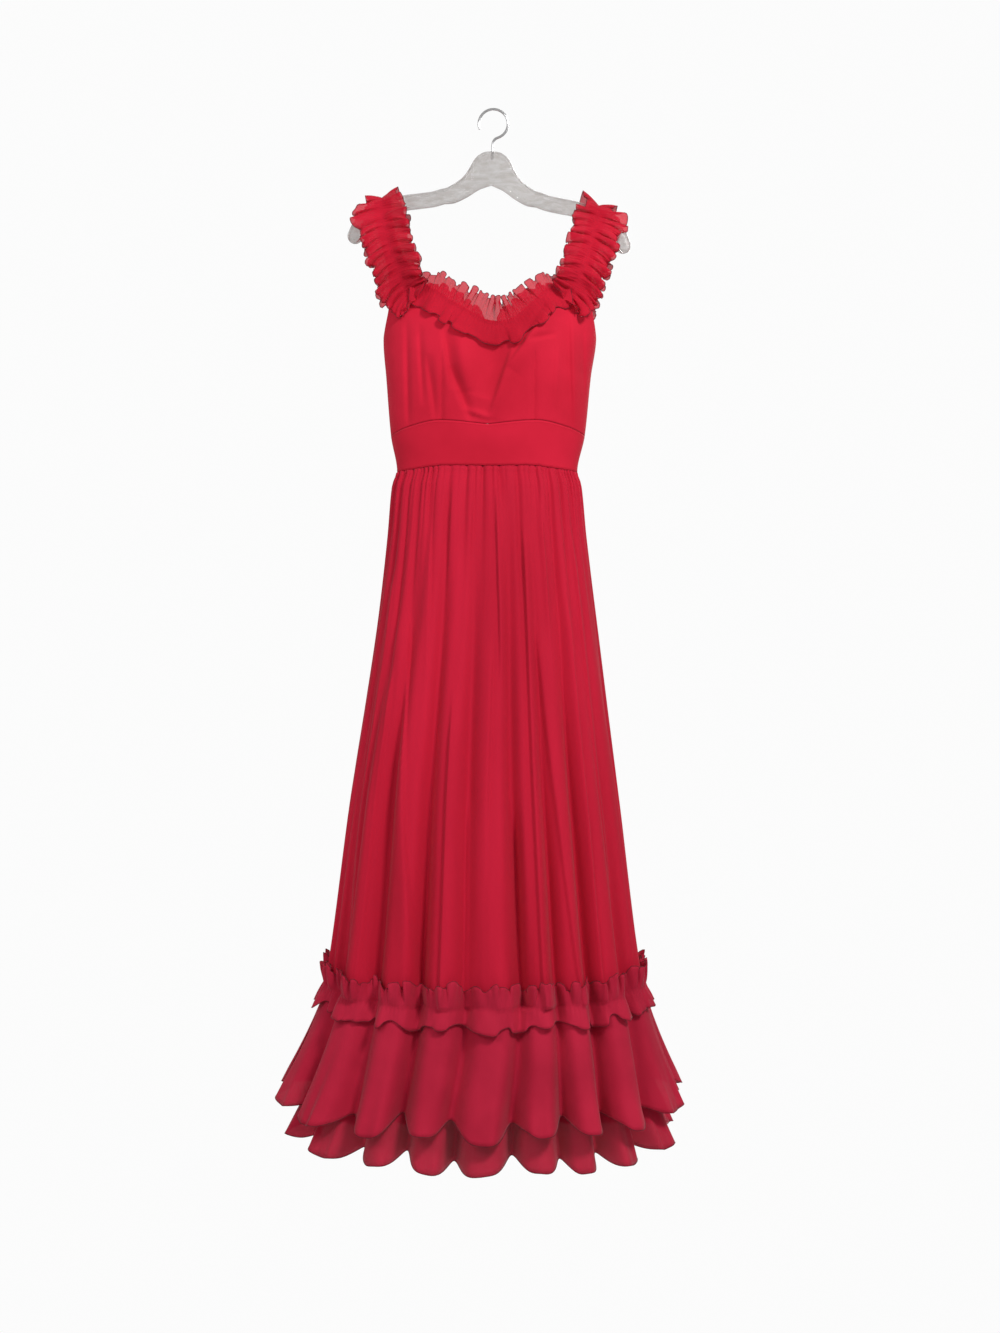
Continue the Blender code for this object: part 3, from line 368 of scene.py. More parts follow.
def cloth_material(
    name, dark, light, pitch, sheen, roughness, bump, through=0.0, clear=0.0, streak=(1, 1, 1)
):
    """A woven cloth. through is the share of light let through, clear the share that is see-through."""
    made, nodes, links = new_material(name)
    shader = nodes["Principled BSDF"]
    set_values(shader, **{"Roughness": roughness, "Sheen Weight": sheen, "Sheen Roughness": 0.45})
    set_values(shader, **{"Specular IOR Level": 0.22})
    place = nodes.new("ShaderNodeTexCoord")
    colour, slow = shade_between(nodes, links, dark, light, 9.0, place.outputs["Object"], streak)
    links.new(colour, shader.inputs["Base Color"])
    add_relief(nodes, links, shader, weave_height(nodes, links, place.outputs["UV"], pitch), bump, pitch / 3)
    surface = shader.outputs["BSDF"]
    if through:
        glow = nodes.new("ShaderNodeBsdfTranslucent")
        links.new(colour, glow.inputs["Color"])
        both = mixed(nodes, links, surface, glow.outputs["BSDF"])
        both.inputs["Fac"].default_value = through
        surface = both.outputs["Shader"]
    if clear:
        ends = {"From Min": OPEN_NOISE[0], "From Max": OPEN_NOISE[1]}
        shares = {"To Min": clear * OPEN_SHARES[0], "To Max": clear * OPEN_SHARES[1]}
        open_weave = add_node(nodes, "ShaderNodeMapRange", **ends, **shares)
        links.new(slow, open_weave.inputs["Value"])
        gap = nodes.new("ShaderNodeBsdfTransparent")
        both = mixed(nodes, links, surface, gap.outputs["BSDF"])
        links.new(open_weave.outputs["Result"], both.inputs["Fac"])
        surface = both.outputs["Shader"]
    links.new(surface, nodes["Material Output"].inputs["Surface"])
    return made


# %% Mix the fabrics
CREPE = cloth_material("crepe", (0.50, 0.004, 0.024), (0.60, 0.007, 0.034), 0.0006, 0.06, 0.82, 0.35)
CHIFFON = cloth_material(
    "skirt_chiffon", (0.62, 0.008, 0.039), (0.75, 0.013, 0.054), 0.0005, 0.10, 0.78, 0.25,
    through=0.26, clear=0.17, streak=(1, 1, 0.15),
)
# The same chiffon as the skirt's, made darker as painted shade for the weaker light low on the dress; the
# flounces and the heading ruffles wear it.
LOW_CHIFFON_PAINTED_SHADE = cloth_material(
    "low_chiffon_painted_shade", (0.48, 0.009, 0.040), (0.60, 0.015, 0.055), 0.0005, 0.12, 0.78, 0.25,
    through=0.18, clear=0.09,
)
FRILL = cloth_material(
    "frill_chiffon", (0.62, 0.007, 0.034), (0.74, 0.012, 0.048), 0.0005, 0.10, 0.78, 0.25,
    through=0.32, clear=0.30,
)
LINING = cloth_material("lining_satin", (0.48, 0.007, 0.026), (0.56, 0.010, 0.034), 0.0004, 0.10, 0.55, 0.15)
TAPE = cloth_material("zip_tape_weave", (0.36, 0.006, 0.022), (0.42, 0.009, 0.028), 0.0008, 0.05, 0.85, 0.6)
ROLLED = cloth_material("rolled_edge", (0.12, 0.003, 0.012), (0.20, 0.005, 0.018), 0.0003, 0.10, 0.7, 0.3)
THREAD = cloth_material("red_thread", (0.34, 0.004, 0.018), (0.44, 0.007, 0.026), 0.0003, 0.10, 0.6, 0.3)

# %% [markdown]
# ## The level sections of the body
#
# A dress on a hanger keeps the depth of its darts and gathers, so a level cut through it is an oval that is
# squarer than an ellipse: a superellipse. A short table gives its half widths and depths at a few heights,
# and a smooth curve through each column gives every height between.

# %% Sections of the dress
SECTION_POWER = 2.25
SECTION_SIZES = ("centre", "half_width", "front", "back")
SIDE_OVERLAP = 0.0002
SEAM_GAP = 0.0004
WALL = 0.0012


def table(columns, *rows):
    """A short table as one array for each named column."""
    return dict(zip(columns.split(), np.array(rows, float).T))


SECTIONS = table(
    "z       centre  half_width front  back",
    (-1.345, -0.011, 0.2420, 0.134, 0.122),
    (-1.269, -0.014, 0.2290, 0.126, 0.114),
    (-1.040, -0.014, 0.2010, 0.108, 0.098),
    (-0.884, -0.012, 0.1790, 0.095, 0.085),
    (-0.734, -0.010, 0.1590, 0.081, 0.071),
    (-0.640, -0.010, 0.1480, 0.069, 0.061),
    (-0.562, -0.010, 0.1400, 0.056, 0.050),
    (-0.543, -0.010, 0.1346, 0.050, 0.046),
    (-0.489, -0.009, 0.1447, 0.058, 0.049),
    (-0.400, -0.008, 0.1530, 0.070, 0.052),
    (-0.343, -0.006, 0.1590, 0.069, 0.052),
    (-0.290, -0.005, 0.1570, 0.058, 0.051),
    (-0.260, -0.005, 0.1540, 0.048, 0.049),
)


def smooth(x, xs, ys):
    """A monotone cubic through a short table, held level past its ends.

    Between two rows the value is a cubic in f, the share of the way, with the tangents at both ends. A
    tangent is the harmonic mean of the slopes on its two sides, or nothing where the table turns.
    """
    order = np.argsort(xs)
    xs, ys = np.asarray(xs, float)[order], np.asarray(ys, float)[order]
    steps = np.diff(xs)
    slopes = np.diff(ys) / steps
    tangents = np.concatenate([slopes[:1], np.zeros(len(xs) - 2), slopes[-1:]])
    same_way = slopes[:-1] * slopes[1:] > 0
    total = np.where(same_way, slopes[:-1] + slopes[1:], 1.0)
    tangents[1:-1] = np.where(same_way, 2 * slopes[:-1] * slopes[1:] / total, 0.0)
    x = np.clip(x, xs[0], xs[-1])
    i = np.clip(np.searchsorted(xs, x, side="right") - 1, 0, len(steps) - 1)
    f = (x - xs[i]) / steps[i]
    start = ys[i] * (1 + 2 * f) * (1 - f) ** 2 + tangents[i] * steps[i] * f * (1 - f) ** 2
    return start + ys[i + 1] * f**2 * (3 - 2 * f) + tangents[i + 1] * steps[i] * f**2 * (f - 1)


def reach_of(across):
    """Share of the half width at a place across: sin(across * 90 degrees)^(2 / n), with its sign."""
    return np.sign(across) * np.sin(np.abs(across) * math.pi / 2) ** (2 / SECTION_POWER)


def section_at(z):
    """The level section at a height, read off the table."""
    return {name: smooth(z, SECTIONS["z"], SECTIONS[name]) for name in SECTION_SIZES}


def plan_point(side, reach, section, lift=0.0):
    """x and y on a section, moved out by lift along its normal. side is -1 in front and 1 behind.

    The oval is |x / half width|^n + |y / depth|^n = 1, and its normal is that sum's gradient.
    """
    depth = section["front"] if side < 0 else section["back"]
    turn = (1 - np.minimum(np.abs(reach), 1) ** SECTION_POWER) ** (1 / SECTION_POWER)
    normal_x = np.sign(reach) * np.abs(reach) ** (SECTION_POWER - 1) / section["half_width"]
    normal_y = side * turn ** (SECTION_POWER - 1) / depth
    size = np.hypot(normal_x, normal_y)
    x = section["centre"] + reach * section["half_width"] + lift * normal_x / size
    y = side * (depth * turn - SIDE_OVERLAP) + lift * normal_y / size
    return x, y


def stack(x, y, z):
    """One array of points from three arrays of any matching shapes."""
    return np.stack(np.broadcast_arrays(x, y, z), axis=-1)


def spread_grid(columns, rows, start=-1.0, end=1.0):
    """across as one row and down as one column, ready to be combined into a whole grid."""
    return np.linspace(start, end, columns + 1)[None, :], np.linspace(0, 1, rows + 1)[:, None]


# %% [markdown]
# ## The bodice
#
# The crepe is cut close to the body, with a dart under each cup. Empty of its wearer it collapses a little:
# a long crease runs down from each strap towards the middle of the midriff. They are soft ridges, each a
# bell curve across its line that fades in and out along it, and the darts are narrow grooves.

# %% Shape of the bodice
STRAP_INNER, STRAP_OUTER = 0.50, 0.79
FRONT_EDGE = table(
    "across reach  z",
    (0.00, 0.000, -0.3280),
    (0.09, 0.103, -0.3250),
    (0.18, 0.205, -0.3150),
    (0.36, 0.400, -0.2930),
    (0.50, 0.560, -0.2755),
    (0.79, 0.950, -0.2910),
    (0.85, 0.965, -0.3090),
    (0.92, 0.985, -0.3290),
    (1.00, 1.000, -0.3435),
)
BACK_EDGE = table(
    "across reach  z",
    (0.00, 0.000, -0.3160),
    (0.18, 0.205, -0.3070),
    (0.36, 0.410, -0.2920),
    (0.50, 0.590, -0.2750),
    (0.79, 0.950, -0.2880),
    (0.85, 0.965, -0.3060),
    (0.92, 0.985, -0.3270),
    (1.00, 1.000, -0.3435),
)
NECK_SHIFT = 0.080
MIDRIFF_TOP = table("reach z", (0.0, -0.4775), (0.5, -0.4710), (0.8, -0.4790), (1.0, -0.4890))
WAIST = table("reach z", (0.0, -0.5375), (0.45, -0.5365), (0.75, -0.5400), (1.0, -0.5435))
BACK_MIDRIFF_Z, BACK_WAIST_Z = -0.4890, -0.5435
CUP_X, CUP_Z, CUP_SPREAD, CUP_LIFT = 0.068, -0.372, 0.042, 0.007
DART_TIP_Z = -0.366
DART_FOLD = {"width": 0.0050, "depth": 0.0022}
DART_SEAM = {"width": 0.0012, "depth": 0.0007}
CREASES = table(
    "x0     z0      x1      z1      left   right  lift",
    (0.097, -0.286, 0.022, -0.396, 0.0036, 0.0200, 0.0090),
    (0.030, -0.362, -0.006, -0.470, 0.0036, 0.0160, 0.0072),
    (0.012, -0.340, -0.016, -0.440, 0.0200, 0.0160, -0.0060),
    (0.050, -0.356, 0.092, -0.345, 0.0030, 0.0050, -0.0033),
    (0.060, -0.300, 0.036, -0.352, 0.0050, 0.0070, 0.0021),
    (-0.073, -0.335, -0.060, -0.428, 0.0040, 0.0110, -0.0060),
    (-0.063, -0.392, -0.032, -0.474, 0.0050, 0.0085, -0.0067),
    (-0.046, -0.455, -0.002, -0.470, 0.0035, 0.0050, 0.0033),
    (-0.050, -0.340, -0.040, -0.430, 0.0120, 0.0140, 0.0053),
    (-0.098, -0.375, -0.085, -0.474, 0.0035, 0.0070, -0.0042),
    (-0.110, -0.330, -0.104, -0.450, 0.0030, 0.0060, -0.0033),
    (-0.129, -0.320, -0.126, -0.486, 0.0040, 0.0050, -0.0036),
    (0.114, -0.298, 0.120, -0.486, 0.0030, 0.0090, 0.0045),
    (0.096, -0.350, 0.090, -0.455, 0.0050, 0.0040, 0.0018),
    (0.132, -0.330, 0.134, -0.440, 0.0040, 0.0030, -0.0021),
)
BACK_CREASES = table(
    "x0     z0      x1      z1      left   right  lift",
    (0.095, -0.310, 0.030, -0.450, 0.0060, 0.0140, 0.0033),
    (-0.115, -0.310, -0.055, -0.455, 0.0130, 0.0060, -0.0030),
    (0.120, -0.330, 0.100, -0.470, 0.0040, 0.0090, -0.0027),
    (-0.080, -0.330, -0.040, -0.400, 0.0060, 0.0090, 0.0021),
    (-0.128, -0.340, -0.118, -0.480, 0.0040, 0.0060, 0.0024),
)


def crease_lift(x, z, creases):
    """Sum of soft ridges: lift * sin(pi * along)^0.7 * exp(-(off / width)^2) for each line from 0 to 1.

    A ridge has one width on its left and another on its right, so that it can fall off steeply on one side.
    """
    total = 0.0
    for x0, z0, x1, z1, left, right, lift in zip(*creases.values()):
        run = math.hypot(x1 - x0, z1 - z0)
        along = ((x - x0) * (x1 - x0) + (z - z0) * (z1 - z0)) / run**2
        off = ((x - x0) * (z0 - z1) - (z - z0) * (x0 - x1)) / run
        fade = np.clip(np.sin(np.clip(along, 0, 1) * math.pi), 0, 1) ** 0.7
        total = total + lift * fade * np.exp(-((off / np.where(off < 0, left, right)) ** 2))
    return total


def front_relief(x, z):
    """How far the bodice front stands out: cups as bell curves, darts as grooves below them, and creases."""
    from_centre = x - section_at(z)["centre"]
    off_dart = np.abs(from_centre) - CUP_X
    cup = np.exp(-((off_dart**2 + (z - CUP_Z) ** 2) / CUP_SPREAD**2))
    below_tip = np.clip((DART_TIP_Z - z) / 0.02, 0, 1)
    relief = CUP_LIFT * cup
    for groove in (DART_FOLD, DART_SEAM):
        relief = relief - groove["depth"] * np.exp(-((off_dart / groove["width"]) ** 2)) * below_tip
    top_fade = np.clip((z - MIDRIFF_TOP["z"].min()) / 0.02, 0, 1)
    return (relief + crease_lift(x, z, CREASES)) * top_fade


def bodice_point(side, across, up):
    """A point of the bodice, from the midriff seam (up 0) to the upper edge (1)."""
    edge = FRONT_EDGE if side < 0 else BACK_EDGE
    place = np.abs(across)
    low_reach = reach_of(across)
    high_reach = np.sign(across) * smooth(place, edge["across"], edge["reach"])
    if side < 0:
        high_reach = high_reach + NECK_SHIFT * (1 - np.clip(place / STRAP_INNER, 0, 1) ** 2) ** 2
        low_z = smooth(np.abs(low_reach), MIDRIFF_TOP["reach"], MIDRIFF_TOP["z"])
    else:
        low_z = BACK_MIDRIFF_Z
    high_z = smooth(place, edge["across"], edge["z"])
    z = low_z + SEAM_GAP + up * (high_z - low_z - SEAM_GAP)
    x, y = plan_point(side, low_reach + up * (high_reach - low_reach), section_at(z))
    if side < 0:
        return stack(x, y - front_relief(x, z), z)
    inside = np.clip(np.minimum(up, 1 - up) / 0.1, 0, 1) * np.clip(np.abs(x - ZIP_X) / 0.02 - 0.5, 0, 1)
    return stack(x, y + crease_lift(x, z, BACK_CREASES) * inside, z)


ZIP_X = float(section_at(np.array([-0.655]))["centre"][0])
BACK_OPENING = 0.0003


def open_back(points, hand):
    """Brings a back panel's edge at the zip onto one straight line."""
    points[:, -1 if hand < 0 else 0, 0] = ZIP_X + hand * BACK_OPENING
    return points


def waist_z(side, across):
    """Height of the waist seam."""
    if side > 0:
        return np.full_like(across, BACK_WAIST_Z)
    return smooth(np.abs(reach_of(across)), WAIST["reach"], WAIST["z"])


def midriff_point(side, across, up):
    """A point of the shaped band, straight from the waist seam (up 0) to the bodice (1), a little slack."""
    reach = reach_of(across)
    top = smooth(np.abs(reach), MIDRIFF_TOP["reach"], MIDRIFF_TOP["z"]) if side < 0 else BACK_MIDRIFF_Z
    low = waist_z(side, across)
    z = low + up * (top - low)
    slack = 0.0006 * np.sin(math.pi * up) * np.sin(9 * across + 2.2 * up + side) * (1 - np.abs(across) ** 8)
    slack = slack * np.clip(np.abs(across) / 0.1 - 0.5, 0, 1) if side > 0 else slack
    x, y = plan_point(side, reach, section_at(z), slack)
    return stack(x, y, z)


def on_bodice(side, x, z, lift=0.0):
    """The bodice's surface at a place seen from the front, moved out by lift."""
    section = section_at(z)
    reach = np.clip((x - section["centre"]) / section["half_width"], -0.995, 0.995)
    y = plan_point(side, reach, section)[1]
    relief = front_relief(x, z) if side < 0 else 0.0
    return stack(x, y + side * (relief + lift), z)


CREPE_WALL = 0.0010
cut_sizes = {}


def keep_sheet(made, points, node, rests_on):
    """Keeps a cloth piece: attaches it to the dress's body, hides the solid it stands for and notes its cut.
    """
    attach(made, "dress")
    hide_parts(node)
    depth = float(arc_lengths(points, 0)[-1])
    width = grid_area(points) / depth
    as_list(rests_on)
    cut_sizes[made.name] = (round(width, 3), round(depth, 3))
    print(made.name, "cut", cut_sizes[made.name], "m")
    return made


def keep_trim(made):
    """Attaches sewing that lies on the cloth to the dress's body."""
    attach(made, "dress")
    return made


# %% Make the bodice and the midriff
across, up = spread_grid(200, 72)
front_points = bodice_point(-1, across, up)
bodice_front = grid_object("bodice_front_cloth", front_points, CREPE, CREPE_WALL)

seam_heights = np.linspace(-0.470, DART_TIP_Z - 0.004, 60)
dart_lines = [
    on_bodice(-1, section_at(seam_heights)["centre"] + hand * CUP_X, seam_heights, CREPE_WALL / 2)
    for hand in (-1, 1)
]
dart_stitches = keep_trim(stitches_object("dart_stitches", dart_lines, THREAD))
STRAP_NAMES = ["strap_left", "strap_right"]
keep_sheet(bodice_front, front_points, "bodice_front", STRAP_NAMES)

across, up = spread_grid(160, 20)
band_points = midriff_point(-1, across, up)
midriff_front = grid_object("midriff_front_cloth", band_points, CREPE, CREPE_WALL)
EDGE_STITCH, BAND_DEPTH = 0.0030, 0.062
band_shares = (EDGE_STITCH / BAND_DEPTH, 1 - EDGE_STITCH / BAND_DEPTH)
band_lines = [midriff_point(-1, across, share)[0] for share in band_shares]
band_trims = [keep_trim(stitches_object("midriff_stitches", band_lines, THREAD, proud=0.0007))]
keep_sheet(midriff_front, band_points, "midriff_front", ["bodice_front_cloth"])

for name, hand, ends in (("right", -1, (-1, 0)), ("left", 1, (0, 1))):
    across, up = spread_grid(110, 60, *ends)
    points = open_back(bodice_point(1, across, up), hand)
    panel = grid_object(f"bodice_back_{name}_cloth", points, CREPE, CREPE_WALL)
    keep_sheet(panel, points, f"bodice_back_{name}", [f"strap_{name}"])
    across, up = spread_grid(100, 24, *ends)
    points = open_back(midriff_point(1, across, up), hand)
    panel = grid_object(f"midriff_back_{name}_cloth", points, CREPE, CREPE_WALL)
    keep_sheet(panel, points, f"midriff_back_{name}", [f"bodice_back_{name}_cloth"])

# %% [markdown]
# ## The skirt and its folds
#
# Chiffon is gathered into the waist seam, so small even waves start there and run out within a hand's
# width, while a few large folds grow towards the hem. The large ones are listed as places across and
# heights, with half a cosine between two neighbours. The ridges are made fuller than the valleys,
# because hanging cloth falls into round folds with narrow gaps between them.

# %% Large folds and gathers
FRONT_FOLDS = table(
    "seam    seam_mm hem     hem_mm",
    (-1.000, 0.0, -1.000, 0.0),
    (-0.905, -6.0, -0.915, -12.0),
    (-0.800, 7.0, -0.815, 19.0),
    (-0.690, -6.0, -0.690, -20.0),
    (-0.575, 13.0, -0.560, 27.0),
    (-0.440, -7.0, -0.415, -24.0),
    (-0.330, 14.0, -0.320, 26.0),
    (-0.232, -20.0, -0.230, -27.0),
    (-0.140, 15.0, -0.148, 24.0),
    (-0.055, -11.0, -0.072, -21.0),
    (0.025, 15.0, 0.005, 26.0),
    (0.110, -12.0, 0.082, -22.0),
    (0.185, 11.0, 0.165, 26.0),
    (0.258, -9.0, 0.243, -20.0),
    (0.330, 13.0, 0.320, 24.0),
    (0.425, -19.0, 0.402, -25.0),
    (0.530, 13.0, 0.490, 27.0),
    (0.650, -6.0, 0.600, -22.0),
    (0.760, 8.0, 0.740, 20.0),
    (0.895, -6.0, 0.895, -12.0),
    (1.000, 0.0, 1.000, 0.0),
)
BACK_FOLDS = table(
    "seam    seam_mm hem     hem_mm",
    (-1.000, 0.0, -1.000, 0.0),
    (-0.910, -6.0, -0.920, -12.0),
    (-0.790, 12.0, -0.800, 22.0),
    (-0.650, -12.0, -0.670, -19.0),
    (-0.520, 14.0, -0.540, 25.0),
    (-0.400, -14.0, -0.410, -21.0),
    (-0.260, 13.0, -0.270, 24.0),
    (-0.130, -10.0, -0.130, -17.0),
    (0.000, 8.0, 0.010, 20.0),
    (0.110, -10.0, 0.130, -17.0),
    (0.240, 14.0, 0.250, 25.0),
    (0.370, -13.0, 0.390, -19.0),
    (0.510, 14.0, 0.530, 24.0),
    (0.660, -14.0, 0.670, -20.0),
    (0.800, 11.0, 0.810, 22.0),
    (0.920, -6.0, 0.920, -12.0),
    (1.000, 0.0, 1.000, 0.0),
)
FOLD_FULLNESS = 1.8
HEM_DROP = 0.55
GATHERS = 18
GATHER_LIFT = 0.0026
GATHER_REACH = 0.42
ZIP_END_Z = -0.655
FLOUNCE_SEAM = table("reach z", (0.0, -1.3230), (0.6, -1.3190), (0.9, -1.3090), (1.0, -1.2970))


def fold_at(side, across, towards_hem):
    """Lift of the large folds: the first height plus a half-cosine step for each next row of the table.

    towards_hem slides the rows from their places at the flounce seam (0) to those at the hem (1).
    """
    folds = FRONT_FOLDS if side < 0 else BACK_FOLDS

    def between(row, kind=""):
        """A row's place or height, on the way from the seam's value to the hem's."""
        at_seam = folds["seam" + kind][row]
        return at_seam + towards_hem * (folds["hem" + kind][row] - at_seam)

    lift = 0.0
    for row in range(len(folds["seam"]) - 1):
        start, end = between(row), between(row + 1)
        low, high = between(row, "_mm") / 1000, between(row + 1, "_mm") / 1000
        f = np.clip((across - start) / (end - start), 0, 1)
        f = np.where(low > high, f**FOLD_FULLNESS, 1 - (1 - f) ** FOLD_FULLNESS)
        lift = lift + (high - low) * (1 - np.cos(math.pi * f)) / 2
    return lift


def full_wave(turn):
    """A sine with broad ridges and narrow valleys: 1 - 2 * ((1 - sin) / 2)^2.2."""
    return 1 - 2 * ((1 - np.sin(turn)) / 2) ** 2.2


def gather_lift(across, side):
    """Unevenly spaced gathers along the waist seam, left out beside the zip."""
    wander = 0.5 * np.sin(7.3 * across + 1.0 + side) + 0.4 * np.sin(12.7 * across)
    lift = full_wave(math.pi * GATHERS * (across + 1) + wander) * (0.8 + 0.2 * np.sin(5.1 * across))
    return lift * beside_zip(across, side) * off_sides(across, 0.03)


def beside_zip(across, side):
    """Nothing at the zip, all further out."""
    return np.clip((np.abs(across) - 0.09) / 0.06, 0, 1) if side > 0 else np.ones_like(across)


def seam_z(across):
    """Height of the flounce seam."""
    return smooth(np.abs(reach_of(across)), FLOUNCE_SEAM["reach"], FLOUNCE_SEAM["z"])


def off_sides(across, width, least=0.0):
    """Nothing (or least) at the side seams, all from a width further in."""
    return np.clip((1 - np.abs(across)) / width, least, 1)


def soft_ripple(across, down, side):
    """Shallow uneven folds of the hanging chiffon: slow waves whose places drift as they run down."""
    drift = 0.05 * np.sin(3.1 * down + 2 * across)
    first = full_wave(37 * (across + drift) + 1.4 * np.sin(6 * across + side))
    second = full_wave(61 * (across - 0.6 * drift) + 1.3 * np.sin(9 * across))
    patchy = 0.5 + 0.5 * np.sin(7.7 * across + 1.3 * side + 1.5 * down)
    return 0.0018 * first * (0.4 + down) * (0.4 + patchy) + 0.0010 * second * patchy


def small_gathers(across, down, side):
    """Fine gathers between the large ones, dying out within a few centimetres of the waist seam."""
    fine = full_wave(math.pi * 43 * (across + 1) + 2.4 * np.sin(11 * across + side))
    uneven = 0.6 + 0.4 * np.sin(17 * across + 2)
    return 0.0018 * fine * uneven * np.exp(-down / 0.07)


SKIRT_CREASES = {
    -1: table(
        "top    low    start  end   left    right   lift",
        (0.046, 0.066, 0.02, 0.46, 0.0020, 0.0150, 0.0063),
        (0.203, 0.203, 0.09, 1.40, 0.0022, 0.0190, 0.0072),
        (0.485, 0.480, 0.22, 1.40, 0.0150, 0.0022, 0.0069),
        (-0.357, -0.284, 0.08, 0.45, 0.0120, 0.0022, 0.0045),
        (-0.478, -0.234, 0.26, 1.40, 0.0150, 0.0024, 0.0075),
        (-0.142, -0.142, 0.42, 1.40, 0.0024, 0.0140, 0.0069),
        (-0.531, -0.531, 0.36, 1.40, 0.0140, 0.0030, 0.0054),
        (-0.053, -0.053, 0.60, 1.40, 0.0030, 0.0120, 0.0051),
        (0.120, 0.127, 0.62, 1.40, 0.0050, 0.0060, -0.0105),
        (0.252, 0.364, 0.28, 1.20, 0.0022, 0.0130, 0.0054),
        (0.330, 0.340, 0.04, 0.38, 0.0100, 0.0022, 0.0042),
        (-0.200, -0.210, 0.02, 0.30, 0.0022, 0.0110, 0.0045),
        (-0.080, -0.090, 0.02, 0.24, 0.0100, 0.0024, 0.0039),
        (0.600, 0.640, 0.10, 0.90, 0.0024, 0.0110, 0.0042),
        (-0.660, -0.640, 0.16, 0.95, 0.0110, 0.0026, 0.0045),
        (0.020, 0.000, 0.30, 0.80, 0.0110, 0.0024, 0.0042),
    ),
    1: table(
        "top    low    start  end   left    right   lift",
        (-0.300, -0.330, 0.05, 0.60, 0.0022, 0.0140, 0.0057),
        (-0.180, -0.200, 0.30, 1.40, 0.0130, 0.0024, 0.0063),
        (-0.470, -0.450, 0.20, 1.40, 0.0024, 0.0150, 0.0066),
        (-0.620, -0.610, 0.10, 0.80, 0.0120, 0.0026, 0.0045),
        (0.210, 0.190, 0.10, 0.70, 0.0120, 0.0022, 0.0054),
        (0.330, 0.310, 0.35, 1.40, 0.0024, 0.0140, 0.0066),
        (0.460, 0.480, 0.08, 0.55, 0.0026, 0.0110, 0.0045),
        (0.600, 0.590, 0.28, 1.40, 0.0140, 0.0026, 0.0063),
        (0.120, 0.110, 0.60, 1.40, 0.0030, 0.0120, 0.0051),
    ),
}


def skirt_crease_lift(side, across, down):
    """Sharp-edged folds: a ridge that falls off steeply on one side and slowly on the other.

    off is the distance to the fold's line in metres, and the lift is lift * exp(-(off / width)^2).
    """
    total = 0.0
    for top, low, start, end, left, right, lift in zip(*SKIRT_CREASES[side].values()):
        place = top + (low - top) * np.clip((down - start) / (min(end, 1.0) - start), 0, 1)
        off = (reach_of(across) - reach_of(place)) * (0.140 + 0.102 * down)
        fade = np.clip((down - start) / 0.10, 0, 1) * np.clip((end - down) / 0.20, 0, 1)
        ridge = np.exp(-((off / np.where(off < 0, left, right)) ** 2))
        total = total + lift * fade**2 * (3 - 2 * fade) * ridge
    return total


def skirt_point(side, across, down):
    """A point of the skirt, from the waist seam (down 0) to the flounce seam (1)."""
    top = waist_z(side, across) - SEAM_GAP
    z = top + down * (seam_z(across) - top)
    ramp = np.clip(down, 0, 1) ** 1.15
    if side > 0:
        low = np.clip((ZIP_END_Z - z) / 0.15, 0, 1)
        ramp = ramp * (beside_zip(across, side) + (1 - beside_zip(across, side)) * low)
    fine = np.clip(1 - down / GATHER_REACH, 0, 1) ** 1.6 * (0.55 + 0.45 * np.clip(down / 0.03, 0, 1))
    sides = off_sides(across, 0.05) * beside_zip(across, side)
    lift = fold_at(side, across, 0.0) * ramp + GATHER_LIFT * fine * gather_lift(across, side)
    ripple = soft_ripple(across, down, side) * np.minimum(down * 6, 1) + skirt_crease_lift(side, across, down)
    lift = lift + sides * (small_gathers(across, down, side) + ripple)
    x, y = plan_point(side, reach_of(across), section_at(z), lift)
    return stack(x, y, z)


LINING_UP = 0.0080
LINING_IN_TOP, LINING_IN, LINING_IN_HEM = 0.0031, 0.0062, 0.0340


def lining_point(side, across, down):
    """A point of the lining, which hangs straight inside the skirt with a few slow waves."""
    top = waist_z(side, across) + LINING_UP
    z = top + down * (seam_z(across) - top)
    inside = LINING_IN_TOP + np.clip((waist_z(side, across) - z) / 0.03, 0, 1) * (LINING_IN - LINING_IN_TOP)
    inside = inside + down * (LINING_IN_HEM - LINING_IN)
    inside = inside + 0.004 * down * (1 + np.sin(17 * across + 2 * down + side)) * (1 - np.abs(across) ** 6)
    x, y = plan_point(side, reach_of(across), section_at(z), -inside)
    return stack(x, y, z)


# %% Make the skirt and its lining
CHIFFON_WALL = 0.0005
LINING_WALL = 0.0006
across, down = spread_grid(460, 58)
points = skirt_point(-1, across, down**1.2)
skirt_front = grid_object("skirt_front_chiffon", points, CHIFFON, CHIFFON_WALL)
keep_sheet(skirt_front, points, "skirt_front", ["midriff_front_cloth"])
across, down = spread_grid(120, 50)
points = lining_point(-1, across, down)
lining_front = grid_object("lining_front_satin", points, LINING, LINING_WALL)
keep_sheet(lining_front, points, "lining_front", ["midriff_front_cloth"])
for name, hand, ends in (("right", -1, (-1, 0)), ("left", 1, (0, 1))):
    across, down = spread_grid(240, 54, *ends)
    points = open_back(skirt_point(1, across, down**1.2), hand)
    panel = grid_object(f"skirt_back_{name}_chiffon", points, CHIFFON, CHIFFON_WALL)
    keep_sheet(panel, points, f"skirt_back_{name}", [f"midriff_back_{name}_cloth"])
    across, down = spread_grid(60, 50, *ends)
    points = open_back(lining_point(1, across, down), hand)
    panel = grid_object(f"lining_back_{name}_satin", points, LINING, LINING_WALL)
    keep_sheet(panel, points, f"lining_back_{name}", [f"midriff_back_{name}_cloth"])

# %% [markdown]
# ## The flounces
#
# Two flounces hang from a seam at about mid calf, the under one longer. The cloth keeps its cut depth
# as it flares: a point that lies down times the depth along the cloth, and has spread out by s, hangs
# sqrt((depth * down)^2 - s^2) below the seam. The hem dips at each ridge and rises in each valley.

